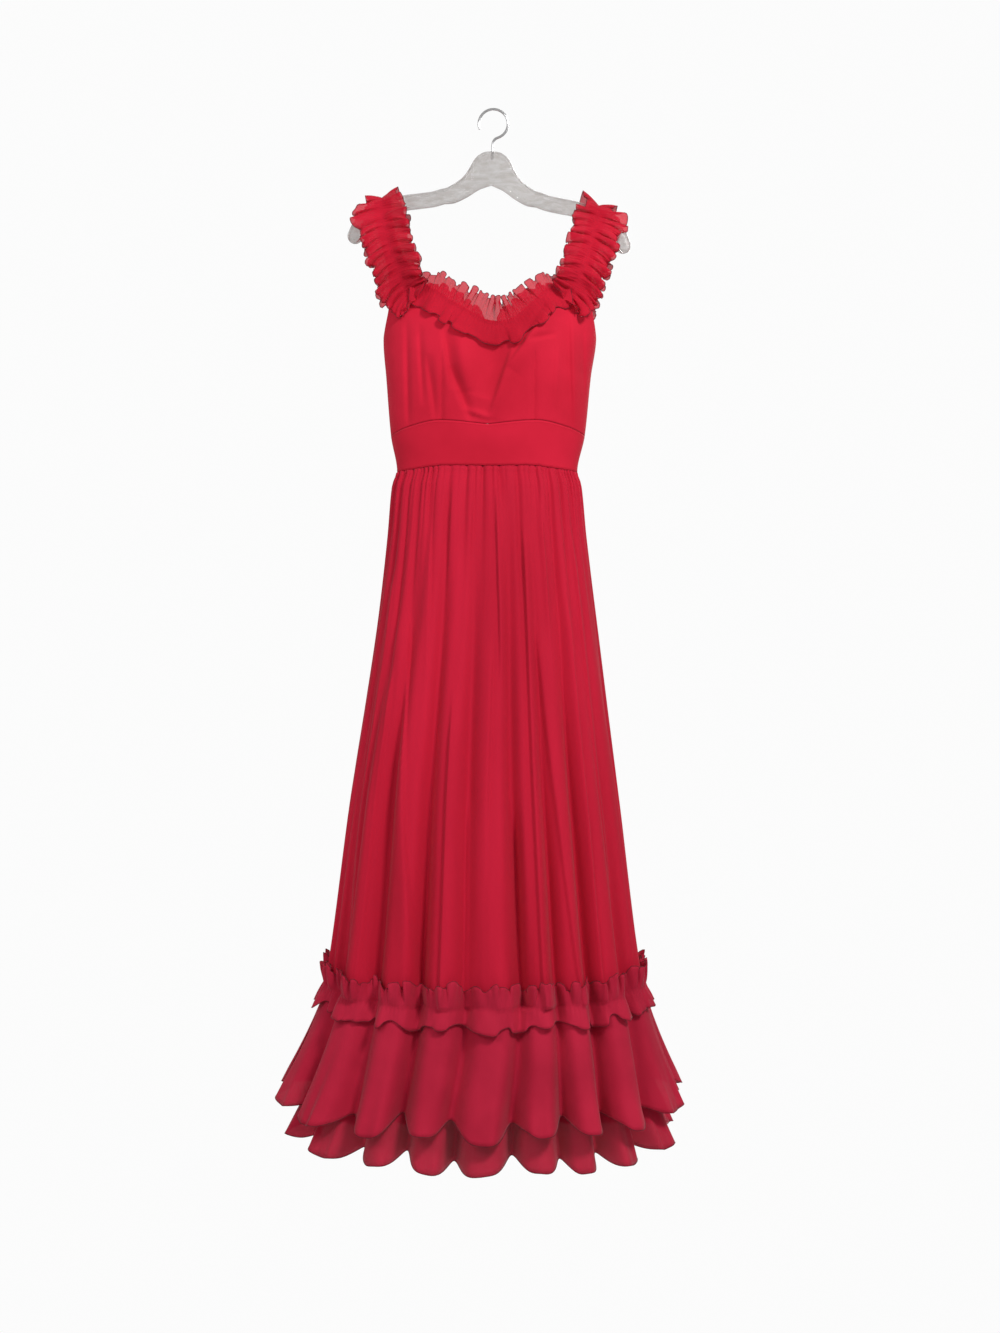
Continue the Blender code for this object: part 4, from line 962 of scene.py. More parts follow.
# %% Shape of the flounces
FLOUNCE_GAP = 0.0006
FLOUNCE_HEM = {"centre": -0.020, "half_width": 0.293, "front": 0.168, "back": 0.152}
UNDER_HEM = {"centre": -0.018, "half_width": 0.2785, "front": 0.152, "back": 0.136}
FLOUNCE_DEPTH, UNDER_DEPTH = 0.173, 0.231
HEM_UNEVEN = 0.0045


def hem_flutter(across, down, side, under):
    """Small curls of the loose edge, growing as the cube of the way down."""
    shift = 1.3 if under else 0.0
    curl = np.sin(58 * across + 1.9 * np.sin(7 * across + shift) + shift)
    tight = np.sin(104 * across + 2.4 * np.sin(9 * across + side) + 2 * shift)
    slow = np.sin(21 * across + 2.6 * np.sin(4 * across + side) + 2.2 * shift)
    wave = 0.0038 * slow + 0.0028 * curl + 0.0012 * tight
    return wave * down**3 * off_sides(across, 0.05)


def flounce_point(side, across, down, under=False):
    """A point of a flounce, from its seam (down 0) to its hem (1)."""
    hem, depth = (UNDER_HEM, UNDER_DEPTH) if under else (FLOUNCE_HEM, FLOUNCE_DEPTH)
    top_z = seam_z(across) - FLOUNCE_GAP
    lift = -LINING_IN_HEM if under else fold_at(side, across, 0.0)
    seam_x, seam_y = plan_point(side, reach_of(across), section_at(top_z), lift)
    lift = fold_at(side, across, np.minimum(1.15 * down, 1.0))
    more = hem_flutter(across, down, side, under) + soft_ripple(across, 0.3 + 0 * down, side + under) * down
    hem_x, hem_y = plan_point(side, reach_of(across), hem, lift + more)
    flare = down**1.15
    x, y = seam_x + flare * (hem_x - seam_x), seam_y + flare * (hem_y - seam_y)
    spread = np.hypot(x - seam_x, y - seam_y)
    z = top_z - np.sqrt(np.maximum((depth * down) ** 2 - spread**2, 0)) - HEM_DROP * lift * down**2
    uneven = np.sin(9 * across + 2.0 * np.sin(5 * across) + (1.9 if under else 0) - side)
    return stack(x, y, z - HEM_UNEVEN * uneven * down**2)


# %% Make the flounces with their rolled hems
ROLL_RADIUS = 0.0006


def rolled_edges(name, edges, radius=ROLL_RADIUS, reference=(0, 0, 1)):
    """A rolled hem along each of the given edges of a cloth piece."""
    return [
        keep_trim(tube_object(f"{name}_{k + 1}", edge, radius, ROLLED, reference))
        for k, edge in enumerate(edges)
    ]


for side, name in ((-1, "front"), (1, "back")):
    for under, kind in ((False, "flounce"), (True, "under_flounce")):
        across, down = spread_grid(340, 28)
        points = flounce_point(side, across, down, under)
        # The flounces wear the skirt's chiffon made darker: painted shade for the weaker light near the hem.
        made = grid_object(f"{kind}_{name}_chiffon", points, LOW_CHIFFON_PAINTED_SHADE, CHIFFON_WALL)
        hems = rolled_edges(f"{kind}_{name}_hem", [points[-1, 1:-1]])
        keep_sheet(made, points, f"{kind}_{name}", ["lining_front_satin"])

# %% [markdown]
# ## Ruffles stitched along their middle
#
# A ruffle is a strip about twice as long as the line it is sewn to. Gathered along its middle, its two edges
# have more length than room, so they wave and curl over. Here v runs from one edge (-1) over the stitched
# line (0) to the other (1). The strip lifts off the cloth by |v| times a wave along it, and slides
# sideways by |v| times a wave twice as fast, so that each wave gets a broad top that leans over its sides.


# %% The waves of a ruffle
CURL_RATE, CURL_SIZE = 2.31, 0.40
PLEAT_RATE, PLEAT_SIZE = 5.3, 0.08
EDGE_FALL = 0.35


def ruffle_waves(turn, v, phase, calm=0.0):
    """Height, slide and reach of a gathered strip, in units of the size of its lobes.

    Lobes are sines whose places wander, and curls are waves a little under half as long. Both grow with
    |v|. The slide -sin(2 * lobe) / 2 - 0.4 * cos(lobe) widens each crest until it leans over its
    neighbours, and the reach lets the crests stand out further than the troughs, so that the edge is a row
    of round scallops. Pleats are fine waves beside the stitching. calm takes the curls out.
    """
    out, edge = np.abs(v), np.sign(v)
    lobe = turn + 1.2 * edge + 0.9 * np.sin(0.43 * turn + phase) + 0.4 * out * np.sin(0.77 * turn)
    curl = CURL_RATE * turn - 0.8 * edge + np.sin(0.61 * turn + 2 * phase)
    curl = curl + 0.6 * out * np.sin(1.13 * turn + phase)
    size = 0.74 + 0.26 * np.sin(0.29 * turn + 1.7 * phase + edge)
    fine = CURL_SIZE * (1 - calm)
    height = out**0.8 * (size * np.sin(lobe) + fine * out * np.sin(curl))
    pleat = np.sin(PLEAT_RATE * turn + 1.6 * np.sin(0.9 * turn + phase))
    height = height + PLEAT_SIZE * pleat * np.exp(-(((out - 0.22) / 0.24) ** 2))
    height = height - EDGE_FALL * out**3 * (1 + np.sin(lobe + 1.0))
    slide = -size * (0.5 * np.sin(2 * lobe) + 0.4 * np.cos(lobe))
    slide = slide - 0.5 * fine * (0.5 * np.sin(2 * curl) + 0.4 * np.cos(curl))
    reach = out**2 * (size * np.sin(lobe) + 0.8 * fine * np.sin(curl))
    return height, out * slide, reach


def plain_outward(side, across, section):
    """Outward directions of the section without its folds."""
    near, far = (np.stack(plan_point(side, reach_of(across), section, lift), axis=-1) for lift in (0.0, 1.0))
    return far - near


def middle_stitches(name, points):
    """The row of stitches along the middle of a ruffle."""
    line = stitches_object(name, [points[len(points) // 2]], THREAD, proud=0.0004)
    return keep_trim(line)


LAID_ON = WALL + 0.0006
HEADING_HALF, HEADING_LIFT, HEADING_WAVE, HEADING_SLIDE = 0.029, 0.0075, 0.0062, 0.0085
HEADING_WAVES = {-1: 33, 1: 31}
HEADING_CLEAR = 0.0012
SKIRT_DEPTH = 0.78
FRILL_ROLL = 0.0005


def heading_grid(side, columns=520, rows=16):
    """The ruffle over the flounce seam, laid on the skirt above it and on the flounce below it."""
    across, v = np.linspace(-1, 1, columns + 1)[None, :], np.linspace(-1, 1, rows + 1)[:, None]
    turn = math.pi * HEADING_WAVES[side] * (across + 1) * np.where(v < 0, 0.52, 1.0)
    height, slide, reach = ruffle_waves(turn, v, side, calm=0.75 * (v < 0))
    place = np.clip(across + HEADING_SLIDE * slide * off_sides(across, 0.04), -1, 1)
    half = 1 + 0.20 * reach + 0.12 * np.sin(0.37 * turn + side) + 0.05 * np.sin(0.83 * turn)
    above = skirt_point(side, place, 1 - np.maximum(v, 0) * half * HEADING_HALF / SKIRT_DEPTH)
    below = flounce_point(side, place, np.maximum(-v, 0) * half * HEADING_HALF / FLOUNCE_DEPTH)
    base = np.where((v >= 0)[..., None], above, below)
    out = plain_outward(side, place, section_at(seam_z(place)))
    run = np.gradient(base[..., :2], axis=1)
    steep = np.abs(run[..., 0] * out[..., 1] - run[..., 1] * out[..., 0]) / np.linalg.norm(run, axis=2)
    lift = LAID_ON / np.clip(steep, 0.5, 1) + HEADING_CLEAR
    ends = off_sides(across, 0.03, 0.1)
    flare = np.abs(v) ** 0.9 * HEADING_LIFT + HEADING_WAVE * height
    lift = lift + np.maximum(flare, -0.0006) * ends
    base[..., :2] += out * lift[..., None]
    return base


for side, name in ((-1, "front"), (1, "back")):
    points = heading_grid(side)
    # The heading ruffle wears the darker chiffon of the flounces: painted shade low on the dress.
    made = grid_object(f"heading_ruffle_{name}_chiffon", points, LOW_CHIFFON_PAINTED_SHADE, CHIFFON_WALL)
    trims = rolled_edges(f"heading_{name}_edge", [points[0, 1:-1], points[-1, 1:-1]], FRILL_ROLL)
    trims += [middle_stitches(f"heading_{name}_stitches", points)]
    under = [f"flounce_{name}_chiffon"]
    keep_sheet(made, points, f"heading_ruffle_{name}", under)

# %% [markdown]
# ## Straps over the hanger
#
# Each strap runs from the bodice's upper edge over the hanger's arm to the back. At its ends it is as wide
# as the edge it is sewn to, and at the top it is a narrow band that bends over the arm. A ruffle is
# stitched along it from front to back.

# %% The hanger's arm, which the straps rest on
ARM_HALF_HEIGHT, HANGER_HALF_THICK = 0.0115, 0.0045
HANGER_TILT = math.radians(2.1)
ARM = table(
    "x      z",
    (0.0640, -0.1290),
    (0.0860, -0.1365),
    (0.1060, -0.1400),
    (0.1260, -0.1432),
    (0.1500, -0.1500),
    (0.1700, -0.1590),
    (0.1860, -0.1710),
    (0.1970, -0.1860),
    (0.2010, -0.1960),
)
STRAP_WIDTH, STRAP_CENTRE = 0.026, -0.0055
STRAP_ROUTE = table(
    "out     lean    z",
    (0.1353, 0.0400, -0.2464),
    (0.1477, 0.0300, -0.2118),
    (0.1573, 0.0180, -0.1750),
)
STRAP_OVER_OUT, STRAP_OVER_RADIUS, STRAP_OVERLAP = 0.1612, 0.0057, 0.0004
STRAP_WAVES, STRAP_FRILL_HALF = 21, 0.034
STRAP_LIFT, STRAP_WAVE, STRAP_SLIDE, STRAP_DROOP = 0.0100, 0.0080, 0.0054, 0.011
STRAP_FRILL_PAST, STRAP_FRILL_IN, STRAP_FRILL_OVER = 0.014, 0.010, 0.0022
TOP_LOBE = {"before": 0.020, "spread": 0.015, "more": 0.26, "round": 0.010}


def tilted(x, z):
    """A point of the upright hanger, turned about the hook's bearing point."""
    c, s = math.cos(HANGER_TILT), math.sin(HANGER_TILT)
    return x * c + z * s, z * c - x * s


def arm_line(count):
    """The upright arm's centreline and its normals, as a smooth curve through the table."""
    t, fine = np.linspace(0, 1, len(ARM["x"])), np.linspace(0, 1, count)
    line = np.stack([smooth(fine, t, ARM["x"]), smooth(fine, t, ARM["z"])], axis=-1)
    run = np.gradient(line, axis=0)
    return line, np.stack([-run[:, 1], run[:, 0]], axis=-1) / np.linalg.norm(run, axis=1, keepdims=True)


def arm_top(x, hand):
    """Height of the tilted arm's upper edge at x. hand is -1 for the arm at -X and 1 for the other."""
    line, normal = arm_line(12)
    upper = line + normal * ARM_HALF_HEIGHT
    edge_x, edge_z = tilted(hand * upper[:, 0], upper[:, 1])
    order = np.argsort(edge_x)
    return np.interp(x, edge_x[order], edge_z[order])


def edge_middle(side, hand, down=0.0):
    """The middle of a strap's base, or a point that far down the bodice from it."""
    point = bodice_point(side, np.array([hand * (STRAP_INNER + STRAP_OUTER) / 2]), 1.0)[0]
    if down:
        point = on_bodice(side, point[0] - hand * 0.35 * down, point[2] - down)
    return point


def strap_line(hand):
    """Centreline of a strap: front base, route up, half circle over the arm, and the same down the back."""
    over_x = STRAP_CENTRE + hand * STRAP_OVER_OUT
    over_z = arm_top(over_x, hand) - HANGER_HALF_THICK
    rise = [(STRAP_CENTRE + hand * out, lean, z) for out, lean, z in zip(*STRAP_ROUTE.values())]
    rise.append((STRAP_CENTRE + hand * (STRAP_OVER_OUT - 0.0006), 0.0082, over_z - 0.0100))
    front = [edge_middle(-1, hand)] + [np.array([x, -lean, z]) for x, lean, z in rise]
    back = [np.array([x, lean, z]) for x, lean, z in reversed(rise)] + [edge_middle(1, hand)]
    angles = np.radians(np.linspace(0, 180, 7))
    over = [
        np.array([over_x, -STRAP_OVER_RADIUS * math.cos(a), over_z + STRAP_OVER_RADIUS * math.sin(a)])
        for a in angles
    ]
    return np.array(front + over + back)


def strap_frame(line, hand):
    """Sideways and outward directions along a strap: the bodice's edge at its bases, the arm at the top."""
    run = unit(np.gradient(line, axis=0))
    over_x = STRAP_CENTRE + hand * STRAP_OVER_OUT
    arm = np.array([0.008, 0, arm_top(over_x + 0.004, hand) - arm_top(over_x - 0.004, hand)]) * hand
    side = np.zeros_like(line)
    share = np.clip((line[:, 2] - line[0, 2]) / (line[:, 2].max() - line[0, 2]), 0, 1) ** 0.7
    for panel in (-1, 1):
        inner, outer = (bodice_point(panel, hand * np.array([a]), 1.0)[0] for a in (STRAP_INNER, STRAP_OUTER))
        base = (outer - inner) / np.linalg.norm(outer - inner)
        blend = base * (1 - share[:, None]) + arm / np.linalg.norm(arm) * share[:, None]
        side = np.where(line[:, 1:2] * panel > 0, blend, side)
    side = np.where(line[:, 1:2] == 0, arm, side)
    side = unit(side - run * np.sum(side * run, axis=1, keepdims=True))
    return side, hand * np.cross(side, run)


def refined(values, along, places):
    """Rows of a coarse array read off at finer places, by a monotone cubic through each column."""
    flat = values.reshape(len(values), -1)
    fine = np.stack([smooth(places, along, flat[:, k]) for k in range(flat.shape[1])], axis=-1)
    return fine.reshape(places.shape + values.shape[1:])


def strap_grid(hand):
    """The strap band, its ends along the bodice's upper edge."""
    line = strap_line(hand)
    side, _ = strap_frame(line, hand)
    columns = np.linspace(-1, 1, 17)
    grid = line[:, None] + side[:, None] * (columns * STRAP_WIDTH / 2)[None, :, None]
    across = hand * (STRAP_INNER + (columns + 1) / 2 * (STRAP_OUTER - STRAP_INNER))
    for row, panel in ((0, -1), (len(line) - 1, 1)):
        edge = bodice_point(panel, across, 1.0) - np.array([0, 0, STRAP_OVERLAP])
        near = row + 1 if row == 0 else row - 1
        grid[near] = 0.75 * grid[near] + 0.25 * (edge + line[near] - edge[len(edge) // 2])
        grid[row] = edge
    along = path_lengths(line)
    return refined(grid, along, np.linspace(0, along[-1], 150))


def strap_ruffle_grid(hand, columns=480, rows=16):
    """The strap's ruffle, moved out from the strap, with a large smooth lobe beside the hanger's arm.

    It ends a little way down the bodice, is rounded off there, and droops outwards from its highest point.
    """
    line = strap_line(hand)
    ends = []
    for panel in (-1, 1):
        low = edge_middle(panel, hand, STRAP_FRILL_PAST)
        ends.append(on_bodice(panel, low[0] - hand * STRAP_FRILL_IN, low[2]))
    line = np.concatenate([ends[:1], line, ends[1:]])
    along = path_lengths(line)
    side, out = strap_frame(line, hand)
    v = np.linspace(-1, 1, rows + 1)[:, None]
    place = np.linspace(0, along[-1], columns + 1)[None, :]
    from_top = place - along[-1] / 2
    turn = 2 * math.pi * STRAP_WAVES * place / along[-1] * (1 + 0.14 * np.sign(v))
    to_end = np.minimum(place, along[-1] - place)
    big = np.exp(-(((from_top + TOP_LOBE["before"]) / TOP_LOBE["spread"]) ** 2)) * (v > 0)
    height, slide, reach = ruffle_waves(turn, v, 2 + hand, calm=0.5 * big)
    droop = STRAP_DROOP * v**2 * np.tanh(from_top / 0.03)
    moved = np.clip(place + (STRAP_SLIDE * slide + droop) * np.clip(to_end / 0.012, 0, 1), 0, along[-1])
    line, side, out = (refined(values, along, moved) for values in (line, side, out))
    over = np.exp(-((from_top / 0.018) ** 2))
    near_end = np.clip(to_end / 0.018, 0.03, 1)
    half = STRAP_FRILL_HALF * np.sqrt(near_end * (2 - near_end)) * (1 + TOP_LOBE["more"] * big)
    top = np.exp(-((from_top / TOP_LOBE["round"]) ** 2))
    half = half * (1 + 0.15 * reach + 0.06 * np.sin(0.41 * turn + hand))
    half = half * (1 - top * np.where(v > 0, 0.42, 0.22))
    flare = np.abs(v) * STRAP_LIFT + STRAP_WAVE * height
    lift = LAID_ON + over * STRAP_FRILL_OVER + np.maximum(flare, 0.003 * np.abs(v)) * (1 - 0.15 * over)
    return line + side * (v * half)[..., None] + out * lift[..., None]


# %% Make the straps and their ruffles
for name, hand in (("right", -1), ("left", 1)):
    points = strap_grid(hand)
    made = grid_object(f"strap_{name}_cloth", points, CREPE, CREPE_WALL)
    keep_sheet(made, points, f"strap_{name}", ["hanger_moulding"])
    points = strap_ruffle_grid(hand)
    made = grid_object(f"strap_ruffle_{name}_chiffon", points, FRILL, CHIFFON_WALL)
    trims = rolled_edges(f"strap_{name}_edge", [points[0], points[-1]], FRILL_ROLL, (1, 0, 0))
    trims += [middle_stitches(f"strap_{name}_stitches", points)]
    keep_sheet(made, points, f"strap_ruffle_{name}", [f"strap_{name}_cloth"])

# %% [markdown]
# ## The neck ruffle
#
# The same strip follows the neckline and runs up the inner edges of the straps, where their own ruffles
# cover its ends. Its upper half stands above the edge, where the light comes through it, and its lower half
# lies on the bodice. At the back it stops on both sides of the zip.

# %% Make the neck ruffles
NECK_HALF, NECK_LIFT, NECK_WAVE, NECK_SLIDE = 0.031, 0.0060, 0.0048, 0.0046
NECK_MAIN, NECK_BACK_END = 0.47, 0.05
NECK_STITCH = 0.005
NECK_SPAN = 0.030
NECK_UP_STRAP = np.array([0.006, 0.012])
RELIEF_NEAR = 0.004


def neck_path(side, start, end):
    """Points along the neckline between two places across, carried on up the straps' inner edges."""
    pieces = [bodice_point(side, np.linspace(max(start, -NECK_MAIN), min(end, NECK_MAIN), 60), 1.0)]
    for hand, at_end in ((-1, start < -NECK_MAIN), (1, end > NECK_MAIN)):
        if not at_end:
            continue
        line = strap_line(hand)
        inner = line - strap_frame(line, hand)[0] * STRAP_WIDTH / 2
        if side > 0:
            line, inner = line[::-1], inner[::-1]
        rise = read_off(NECK_UP_STRAP, path_lengths(line), inner)
        pieces = [rise[::-1]] + pieces if hand < 0 else pieces + [rise]
    return np.concatenate(pieces)


def neck_grid(side, waves, start, end, columns, rows=16):
    """The neck ruffle: down over the cloth for v under 0, and free above the edge for v above 0.

    down is at right angles to the neckline's direction over a short span on both sides of each point.
    """
    path = neck_path(side, start, end)
    along = path_lengths(path)
    share, v = np.linspace(0, 1, columns + 1)[None, :], np.linspace(-1, 1, rows + 1)[:, None]
    turn = 2 * math.pi * waves * share
    turn = turn * np.where(v < 0, 0.6, 1.0)
    height, slide, reach = ruffle_waves(turn, v, side, calm=0.8 * (v < 0))
    height = height * np.where(v < 0, 0.7, 1.0)
    to_end = np.minimum(share, 1 - share)
    length = along[-1]
    moved = np.clip(share * length + NECK_SLIDE * slide * np.clip(to_end / 0.04, 0, 1), 0, length)
    x, y, z = (smooth(moved, along, path[:, k]) for k in range(3))
    before, after = (
        refined(path[:, ::2], along, np.clip(share * length + step, 0, length))
        for step in (-NECK_SPAN, NECK_SPAN)
    )
    run = after - before
    down = unit(np.stack([run[..., 1], -run[..., 0]], axis=-1))
    rounded = np.sqrt(np.clip(to_end / 0.09, 0.06, 1))
    half = NECK_HALF * rounded * (1 + 0.15 * reach)
    half = half * np.where(v < 0, 0.94, 1.0 - 0.14 * np.cos(2 * math.pi * share))
    away = NECK_STITCH - v * half
    place_x, place_z = x + down[..., 0] * away, z + down[..., 1] * away
    on_x, on_z = (start_at + down[..., k] * np.maximum(away, 0.001) for k, start_at in ((0, x), (1, z)))
    cloth = [side * on_bodice(side, on_x + dx, on_z)[..., 1] for dx in (-RELIEF_NEAR, 0.0, RELIEF_NEAR)]
    up_strap = np.clip((np.abs(x - STRAP_CENTRE) - 0.080) / 0.012, 0, 1)
    cloth_y = side * np.max(cloth, axis=0) * (1 - up_strap) + y * up_strap
    flare = np.abs(v) ** 0.9 * NECK_LIFT + NECK_WAVE * height
    lift = LAID_ON + rounded * np.maximum(flare, -0.0004)
    return stack(place_x, cloth_y + side * lift, place_z)


NECK_RUFFLES = (
    ("neck_ruffle_front", -1, 15, -0.5, 0.5, 440, "bodice_front_cloth"),
    ("neck_ruffle_back_right", 1, 6, -0.5, -NECK_BACK_END, 210, "bodice_back_right_cloth"),
    ("neck_ruffle_back_left", 1, 6, NECK_BACK_END, 0.5, 210, "bodice_back_left_cloth"),
)
for name, side, waves, start, end, columns, under in NECK_RUFFLES:
    points = neck_grid(side, waves, start, end, columns)
    made = grid_object(f"{name}_chiffon", points, FRILL, CHIFFON_WALL)
    trims = rolled_edges(f"{name}_edge", [points[0], points[-1]], FRILL_ROLL)
    trims += [middle_stitches(f"{name}_stitches", points)]
    keep_sheet(made, points, name, [under])

# %% [markdown]
# ## The zip
#
# The opening runs down the centre back. Two tapes lie inside the edges of the panels, each with a row of
# coils along the slit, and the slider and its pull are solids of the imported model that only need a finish.

# %% Make the tapes and the coils
ZIP_TOP_Z = -0.3185
TAPE_WIDTH, TAPE_THICK = 0.011, 0.0008
COIL = {"pitch": 0.0016, "width": 0.0011, "height": 0.0009, "depth": 0.0007}


def centre_back_y(z):
    """Depth of the back panels at the zip, read from the three panels' surfaces at the middle."""
    down, up = np.linspace(0, 1, 200), np.linspace(0, 1, 60)
    zero = np.zeros(1)
    rows = np.concatenate(
        [
            np.array([skirt_point(1, zero, d)[0] for d in down[::-1]]),
            np.array([midriff_point(1, zero, u)[0] for u in up]),
            np.array([bodice_point(1, zero, u)[0] for u in up]),
        ]
    )
    return np.interp(z, rows[:, 2], rows[:, 1])


def coils_object(name, hand):
    """A row of six-sided coils along one tape, half a pitch further on at one hand so that both rows mesh."""
    rows = np.arange(ZIP_END_Z + 0.002, ZIP_TOP_Z - 0.002, COIL["pitch"]) + (hand > 0) * COIL["pitch"] / 2
    turn = np.linspace(0, 2 * math.pi, 6, endpoint=False)
    ring_y, ring_z = COIL["depth"] / 2 * np.cos(turn), COIL["height"] / 2 * np.sin(turn)
    reach = ZIP_X + hand * np.array([BACK_OPENING + 0.0001, BACK_OPENING + COIL["width"]])
    middle_y = centre_back_y(rows) - 0.0006
    corner_y, corner_z = middle_y[:, None, None] + ring_y, rows[:, None, None] + ring_z
    corners = stack(reach[None, :, None], corner_y, corner_z).reshape(-1, 3)
    round_faces = [(k, (k + 1) % 6, 6 + (k + 1) % 6, 6 + k) for k in range(6)]
    every = np.arange(len(rows))[:, None, None] * 12
    quads = (np.array(round_faces)[None] + every).reshape(-1, 4).tolist()
    caps = (np.array([range(5, -1, -1), range(6, 12)])[None] + every).reshape(-1, 6).tolist()
    mesh = bpy.data.meshes.new(name)
    mesh.from_pydata(corners.tolist(), [], quads + caps)
    made = add_object(name, mesh, THREAD)
    recalculate(made)
    return made


for name, hand in (("right", -1), ("left", 1)):
    z = np.linspace(ZIP_END_Z, ZIP_TOP_Z, 120)[:, None]
    x = ZIP_X + hand * np.linspace(BACK_OPENING, TAPE_WIDTH, 9)[None, :]
    y = centre_back_y(z) - (WALL + TAPE_THICK) / 2 - SEAM_GAP - 0.0003 * np.abs(x - ZIP_X) / TAPE_WIDTH
    points = stack(x, y, z)
    made = grid_object(f"zip_tape_{name}_weave", points, TAPE, TAPE_THICK)
    coils = keep_trim(coils_object(f"zip_coils_{name}", hand))
    keep_sheet(made, points, f"zip_tape_{name}", [f"bodice_back_{name}_cloth"])

# %% [markdown]
# ## Metal and clear plastic
#
# The slider is enamelled to match the cloth, so its shader is a glossy coat over a red base. The hook is
# plated wire with faint marks of drawing. The hanger is clear acrylic: light passes through it and bends,
# and the moulded rim and ribs are what makes it visible against a white wall. Its warm grey tint is painted
# shade, standing in for the grey seen through the plastic.


# %% Finishes of the hard parts
def hard_material(name, dark, light, rough, metallic, scale, stretch=(1, 1, 1), coat=0.0, bump=0.15):
    """A hard surface whose shade and roughness wander a little with noise."""
    made, nodes, links = new_material(name)
    shader = nodes["Principled BSDF"]
    set_values(shader, **{"Metallic": metallic, "Coat Weight": coat})
    place = nodes.new("ShaderNodeTexCoord")
    colour, noise = shade_between(nodes, links, dark, light, scale, place.outputs["Object"], stretch)
    links.new(colour, shader.inputs["Base Color"])
    spread = add_node(nodes, "ShaderNodeMapRange", **{"To Min": rough[0], "To Max": rough[1]})
    links.new(noise, spread.inputs["Value"])
    links.new(spread.outputs["Result"], shader.inputs["Roughness"])
    add_relief(nodes, links, shader, noise, bump, 0.0002)
    return made


ENAMEL = hard_material(
    "red_enamel", (0.34, 0.006, 0.02), (0.42, 0.01, 0.028), (0.25, 0.4), 0.3, 400, coat=0.4
)
PLATED = hard_material(
    "plated_wire", (0.62, 0.62, 0.63), (0.74, 0.74, 0.75), (0.12, 0.28), 1.0, 90, (1, 1, 12)
)
# The warm grey tint of the acrylic is painted shade: it stands in for the grey seen through the clear
# plastic, and the noise varies it at random.
ACRYLIC_PAINTED_SHADE = hard_material(
    "clear_acrylic_painted_shade", (0.80, 0.76, 0.74), (0.99, 0.98, 0.97), (0.03, 0.20), 0.0, 170, (0.35, 1, 1), bump=0.9
)
set_values(ACRYLIC_PAINTED_SHADE.node_tree.nodes["Principled BSDF"], **{"Transmission Weight": 0.84, "IOR": 1.49})

for node in ("zip_slider", "zip_pull"):
    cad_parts[node].data.materials.clear()
    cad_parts[node].data.materials.append(ENAMEL)

# %% [markdown]
# ## The hanger and its hook
#
# One half of the hanger is a cross-section carried from the middle of the hub out to the tip. The section
# is an I: thick along both edges and thinner between them, so that a rim stands out all the way round, with
# shallow ribs that fan out over the hub. The other half is the same surface with x turned round.

# %% Shape of the hanger
HUB_UPPER = table(
    "x      z",
    (0.0000, -0.0615),
    (0.0100, -0.0625),
    (0.0190, -0.0670),
    (0.0265, -0.0745),
    (0.0320, -0.0850),
    (0.0400, -0.0985),
    (0.0510, -0.1090),
    (0.0680, -0.1190),
)
HUB_LOWER = table("x z", (0.0580, -0.1420), (0.0360, -0.1320), (0.0180, -0.1200), (0.0000, -0.1125))
RIM_WIDTH, WEB_THIN = 0.0035, 0.55
RIBS, RIB_HEIGHT, RIB_END = 15, 0.0006, 0.33


def length_share(points):
    """Share of the way along a line of points, by length."""
    along = path_lengths(points)
    return along / along[-1]


def hanger_edges(count):
    """Upper and lower edge of one half, from the hub's middle to the tip, at matching shares of length."""
    line, normal = arm_line(60)
    upper = line + normal * ARM_HALF_HEIGHT
    lower = line - normal * ARM_HALF_HEIGHT
    hub_up = np.stack([HUB_UPPER["x"], HUB_UPPER["z"]], axis=-1)
    hub_low = np.stack([HUB_LOWER["x"], HUB_LOWER["z"]], axis=-1)[::-1]
    upper = np.concatenate([hub_up, upper[3:]])
    lower = np.concatenate([hub_low, lower[3:]])
    share = np.linspace(0, 1, count)
    edges = []
    for edge in (upper, lower):
        along = length_share(edge)
        edges.append(np.stack([smooth(share, along, edge[:, k]) for k in (0, 1)], axis=-1))
    return edges


def hanger_half(hand, count=150, around=40):
    """One half of the hanger: rings of a rounded I section between the two edges, closed round the tip."""
    upper, lower = hanger_edges(count)
    turn = np.linspace(0, 2 * math.pi, around, endpoint=False)
    high, wide = np.cos(turn), np.sin(turn)
    high = np.sign(high) * np.abs(high) ** 0.55
    wide = np.sign(wide) * np.abs(wide) ** 0.45
    middle, half = (upper + lower) / 2, (upper - lower) / 2
    size = np.linalg.norm(half, axis=1)
    near_rim = np.clip((np.abs(high)[None] - 1) * size[:, None] / RIM_WIDTH + 1.6, 0, 1)
    web = WEB_THIN + (1 - WEB_THIN) * near_rim**2
    face = np.abs(wide)[None] > 0.6
    share = np.linspace(0, 1, count)[:, None]
    fan = RIB_HEIGHT * np.sin(math.pi * RIBS * np.minimum(share / RIB_END, 1)) ** 2 * (share < RIB_END)
    thick = wide[None] * (HANGER_HALF_THICK * np.where(face, web, 1.0) + fan * face)
    x, z = (middle[:, k, None] + half[:, k, None] * high[None] for k in (0, 1))
    tip_turn = np.linspace(0, math.pi / 2, 12)[1:, None]
    run = middle[-1] - middle[-2]
    run = run / np.linalg.norm(run)
    cap_x, cap_z = (
        middle[-1, k] + half[-1, k] * high * np.cos(tip_turn) + run[k] * ARM_HALF_HEIGHT * np.sin(tip_turn)
        for k in (0, 1)
    )
    cap_thick = thick[-1][None] * np.maximum(np.cos(tip_turn), 0.02) ** 0.35
    x, z, thick = (np.concatenate(pair) for pair in ((x, cap_x), (z, cap_z), (thick, cap_thick)))
    x, z = tilted(hand * x, z)
    return stack(x, thick, z)


whole = np.concatenate([hanger_half(-1)[::-1], hanger_half(1)[1:]])
hanger = grid_object("hanger_moulding", whole, ACRYLIC_PAINTED_SHADE, closed=True, faces_out=False)
recalculate(hanger)
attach(hanger, "dress")
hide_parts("hanger")

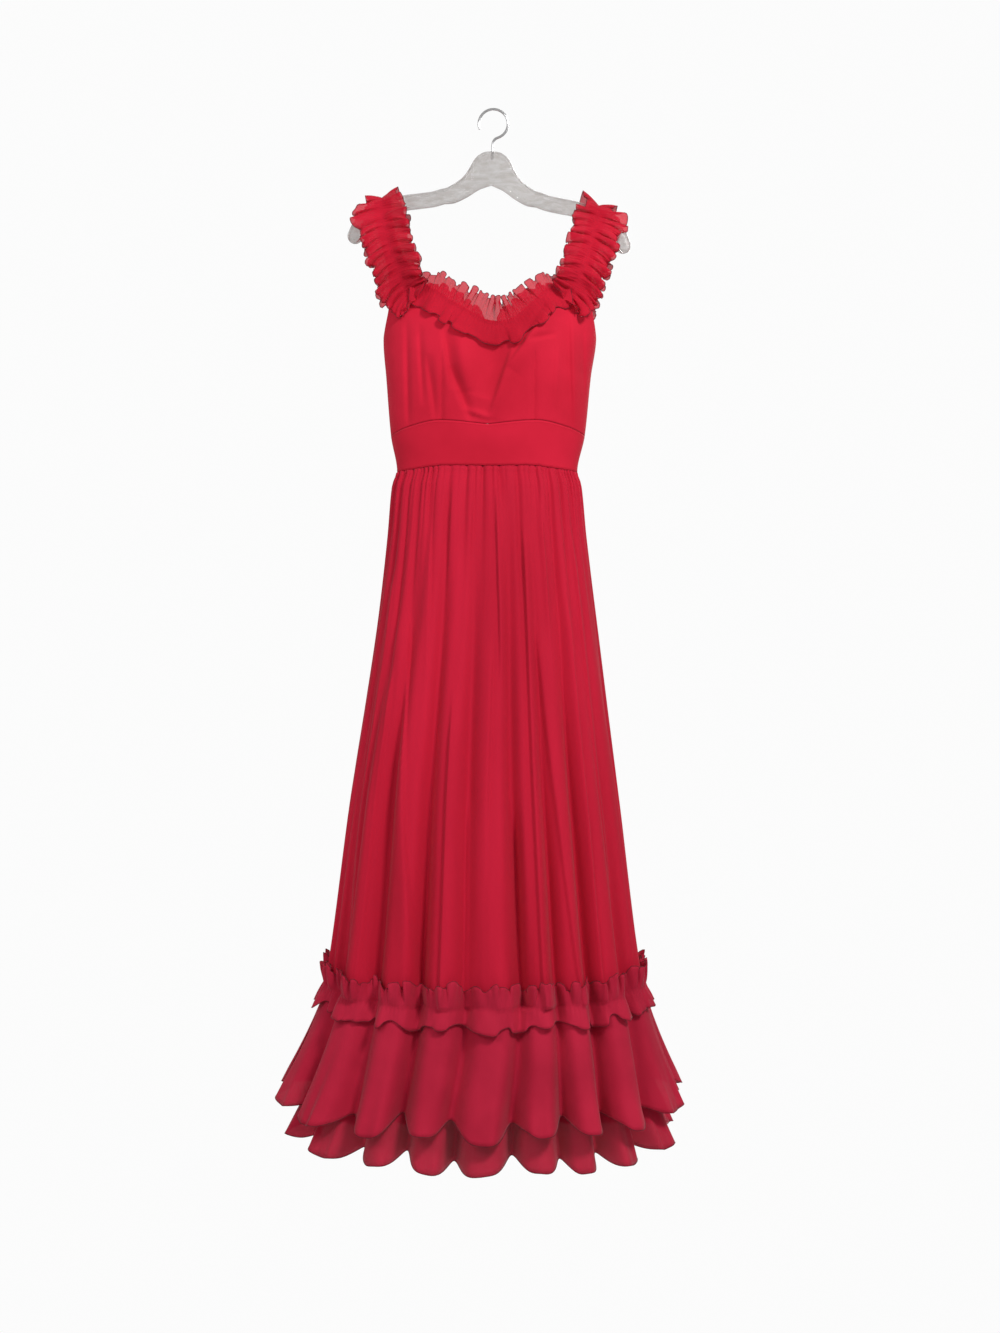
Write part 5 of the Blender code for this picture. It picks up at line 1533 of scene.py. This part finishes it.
# %% Make the hook
WIRE_RADIUS, HOOK_INNER_RADIUS = 0.0019, 0.0200
HOOK_START, HOOK_END = -68.0, 205.0
STEM_FOOT_Z = -0.0740


def hook_path():
    """The stem, an eased bend and the arc over the rod, read off as one smooth curve by its length."""
    radius = HOOK_INNER_RADIUS + WIRE_RADIUS
    angles = np.radians(np.linspace(HOOK_START, HOOK_END, 40))
    arc = np.stack([radius * np.cos(angles), -HOOK_INNER_RADIUS + radius * np.sin(angles)], axis=-1)
    stem = np.array([(0, STEM_FOOT_Z), (0, -0.0640), (0, -0.0530), (0.0006, -0.0470), (0.0035, -0.0425)])
    route = np.concatenate([stem, arc])
    share = length_share(route)
    fine = np.linspace(0, 1, 220)
    x, z = (np.interp(fine, share, route[:, k]) for k in (0, 1))
    for _ in range(6):
        x[1:-1], z[1:-1] = (x[:-2] + 2 * x[1:-1] + x[2:]) / 4, (z[:-2] + 2 * z[1:-1] + z[2:]) / 4
    x, z = tilted(x, z)
    return stack(x, np.zeros_like(x), z)


hook = tube_object("hook_wire", hook_path(), WIRE_RADIUS, PLATED, reference=(0, 1, 0), sides=20)
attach(hook, "dress")
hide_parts("hanger_hook")

# %% [markdown]
# ## The floor
#
# The dress hangs well above a pale matte floor, as it would from a rail on the wall. From the front the
# floor lies below the picture, and the background is one even white like the photograph's.

# %% Make the floor
floor_paint, floor_nodes, floor_links = new_material("pale_floor")
floor_shader = floor_nodes["Principled BSDF"]
set_values(floor_shader, **{"Roughness": 0.9, "Specular IOR Level": 0.1})
floor_place = floor_nodes.new("ShaderNodeTexCoord")
floor_colour, _ = shade_between(
    floor_nodes, floor_links, (0.88, 0.88, 0.89), (0.91, 0.91, 0.92), 2.0, floor_place.outputs["Object"]
)
floor_links.new(floor_colour, floor_shader.inputs["Base Color"])
across, down = spread_grid(24, 24)
floor_points = stack(across * FLOOR_SIZE / 2, (down - 0.5) * FLOOR_SIZE, np.full((25, 25), FLOOR_Z))
floor = grid_object("floor", floor_points, floor_paint, faces_out=False)
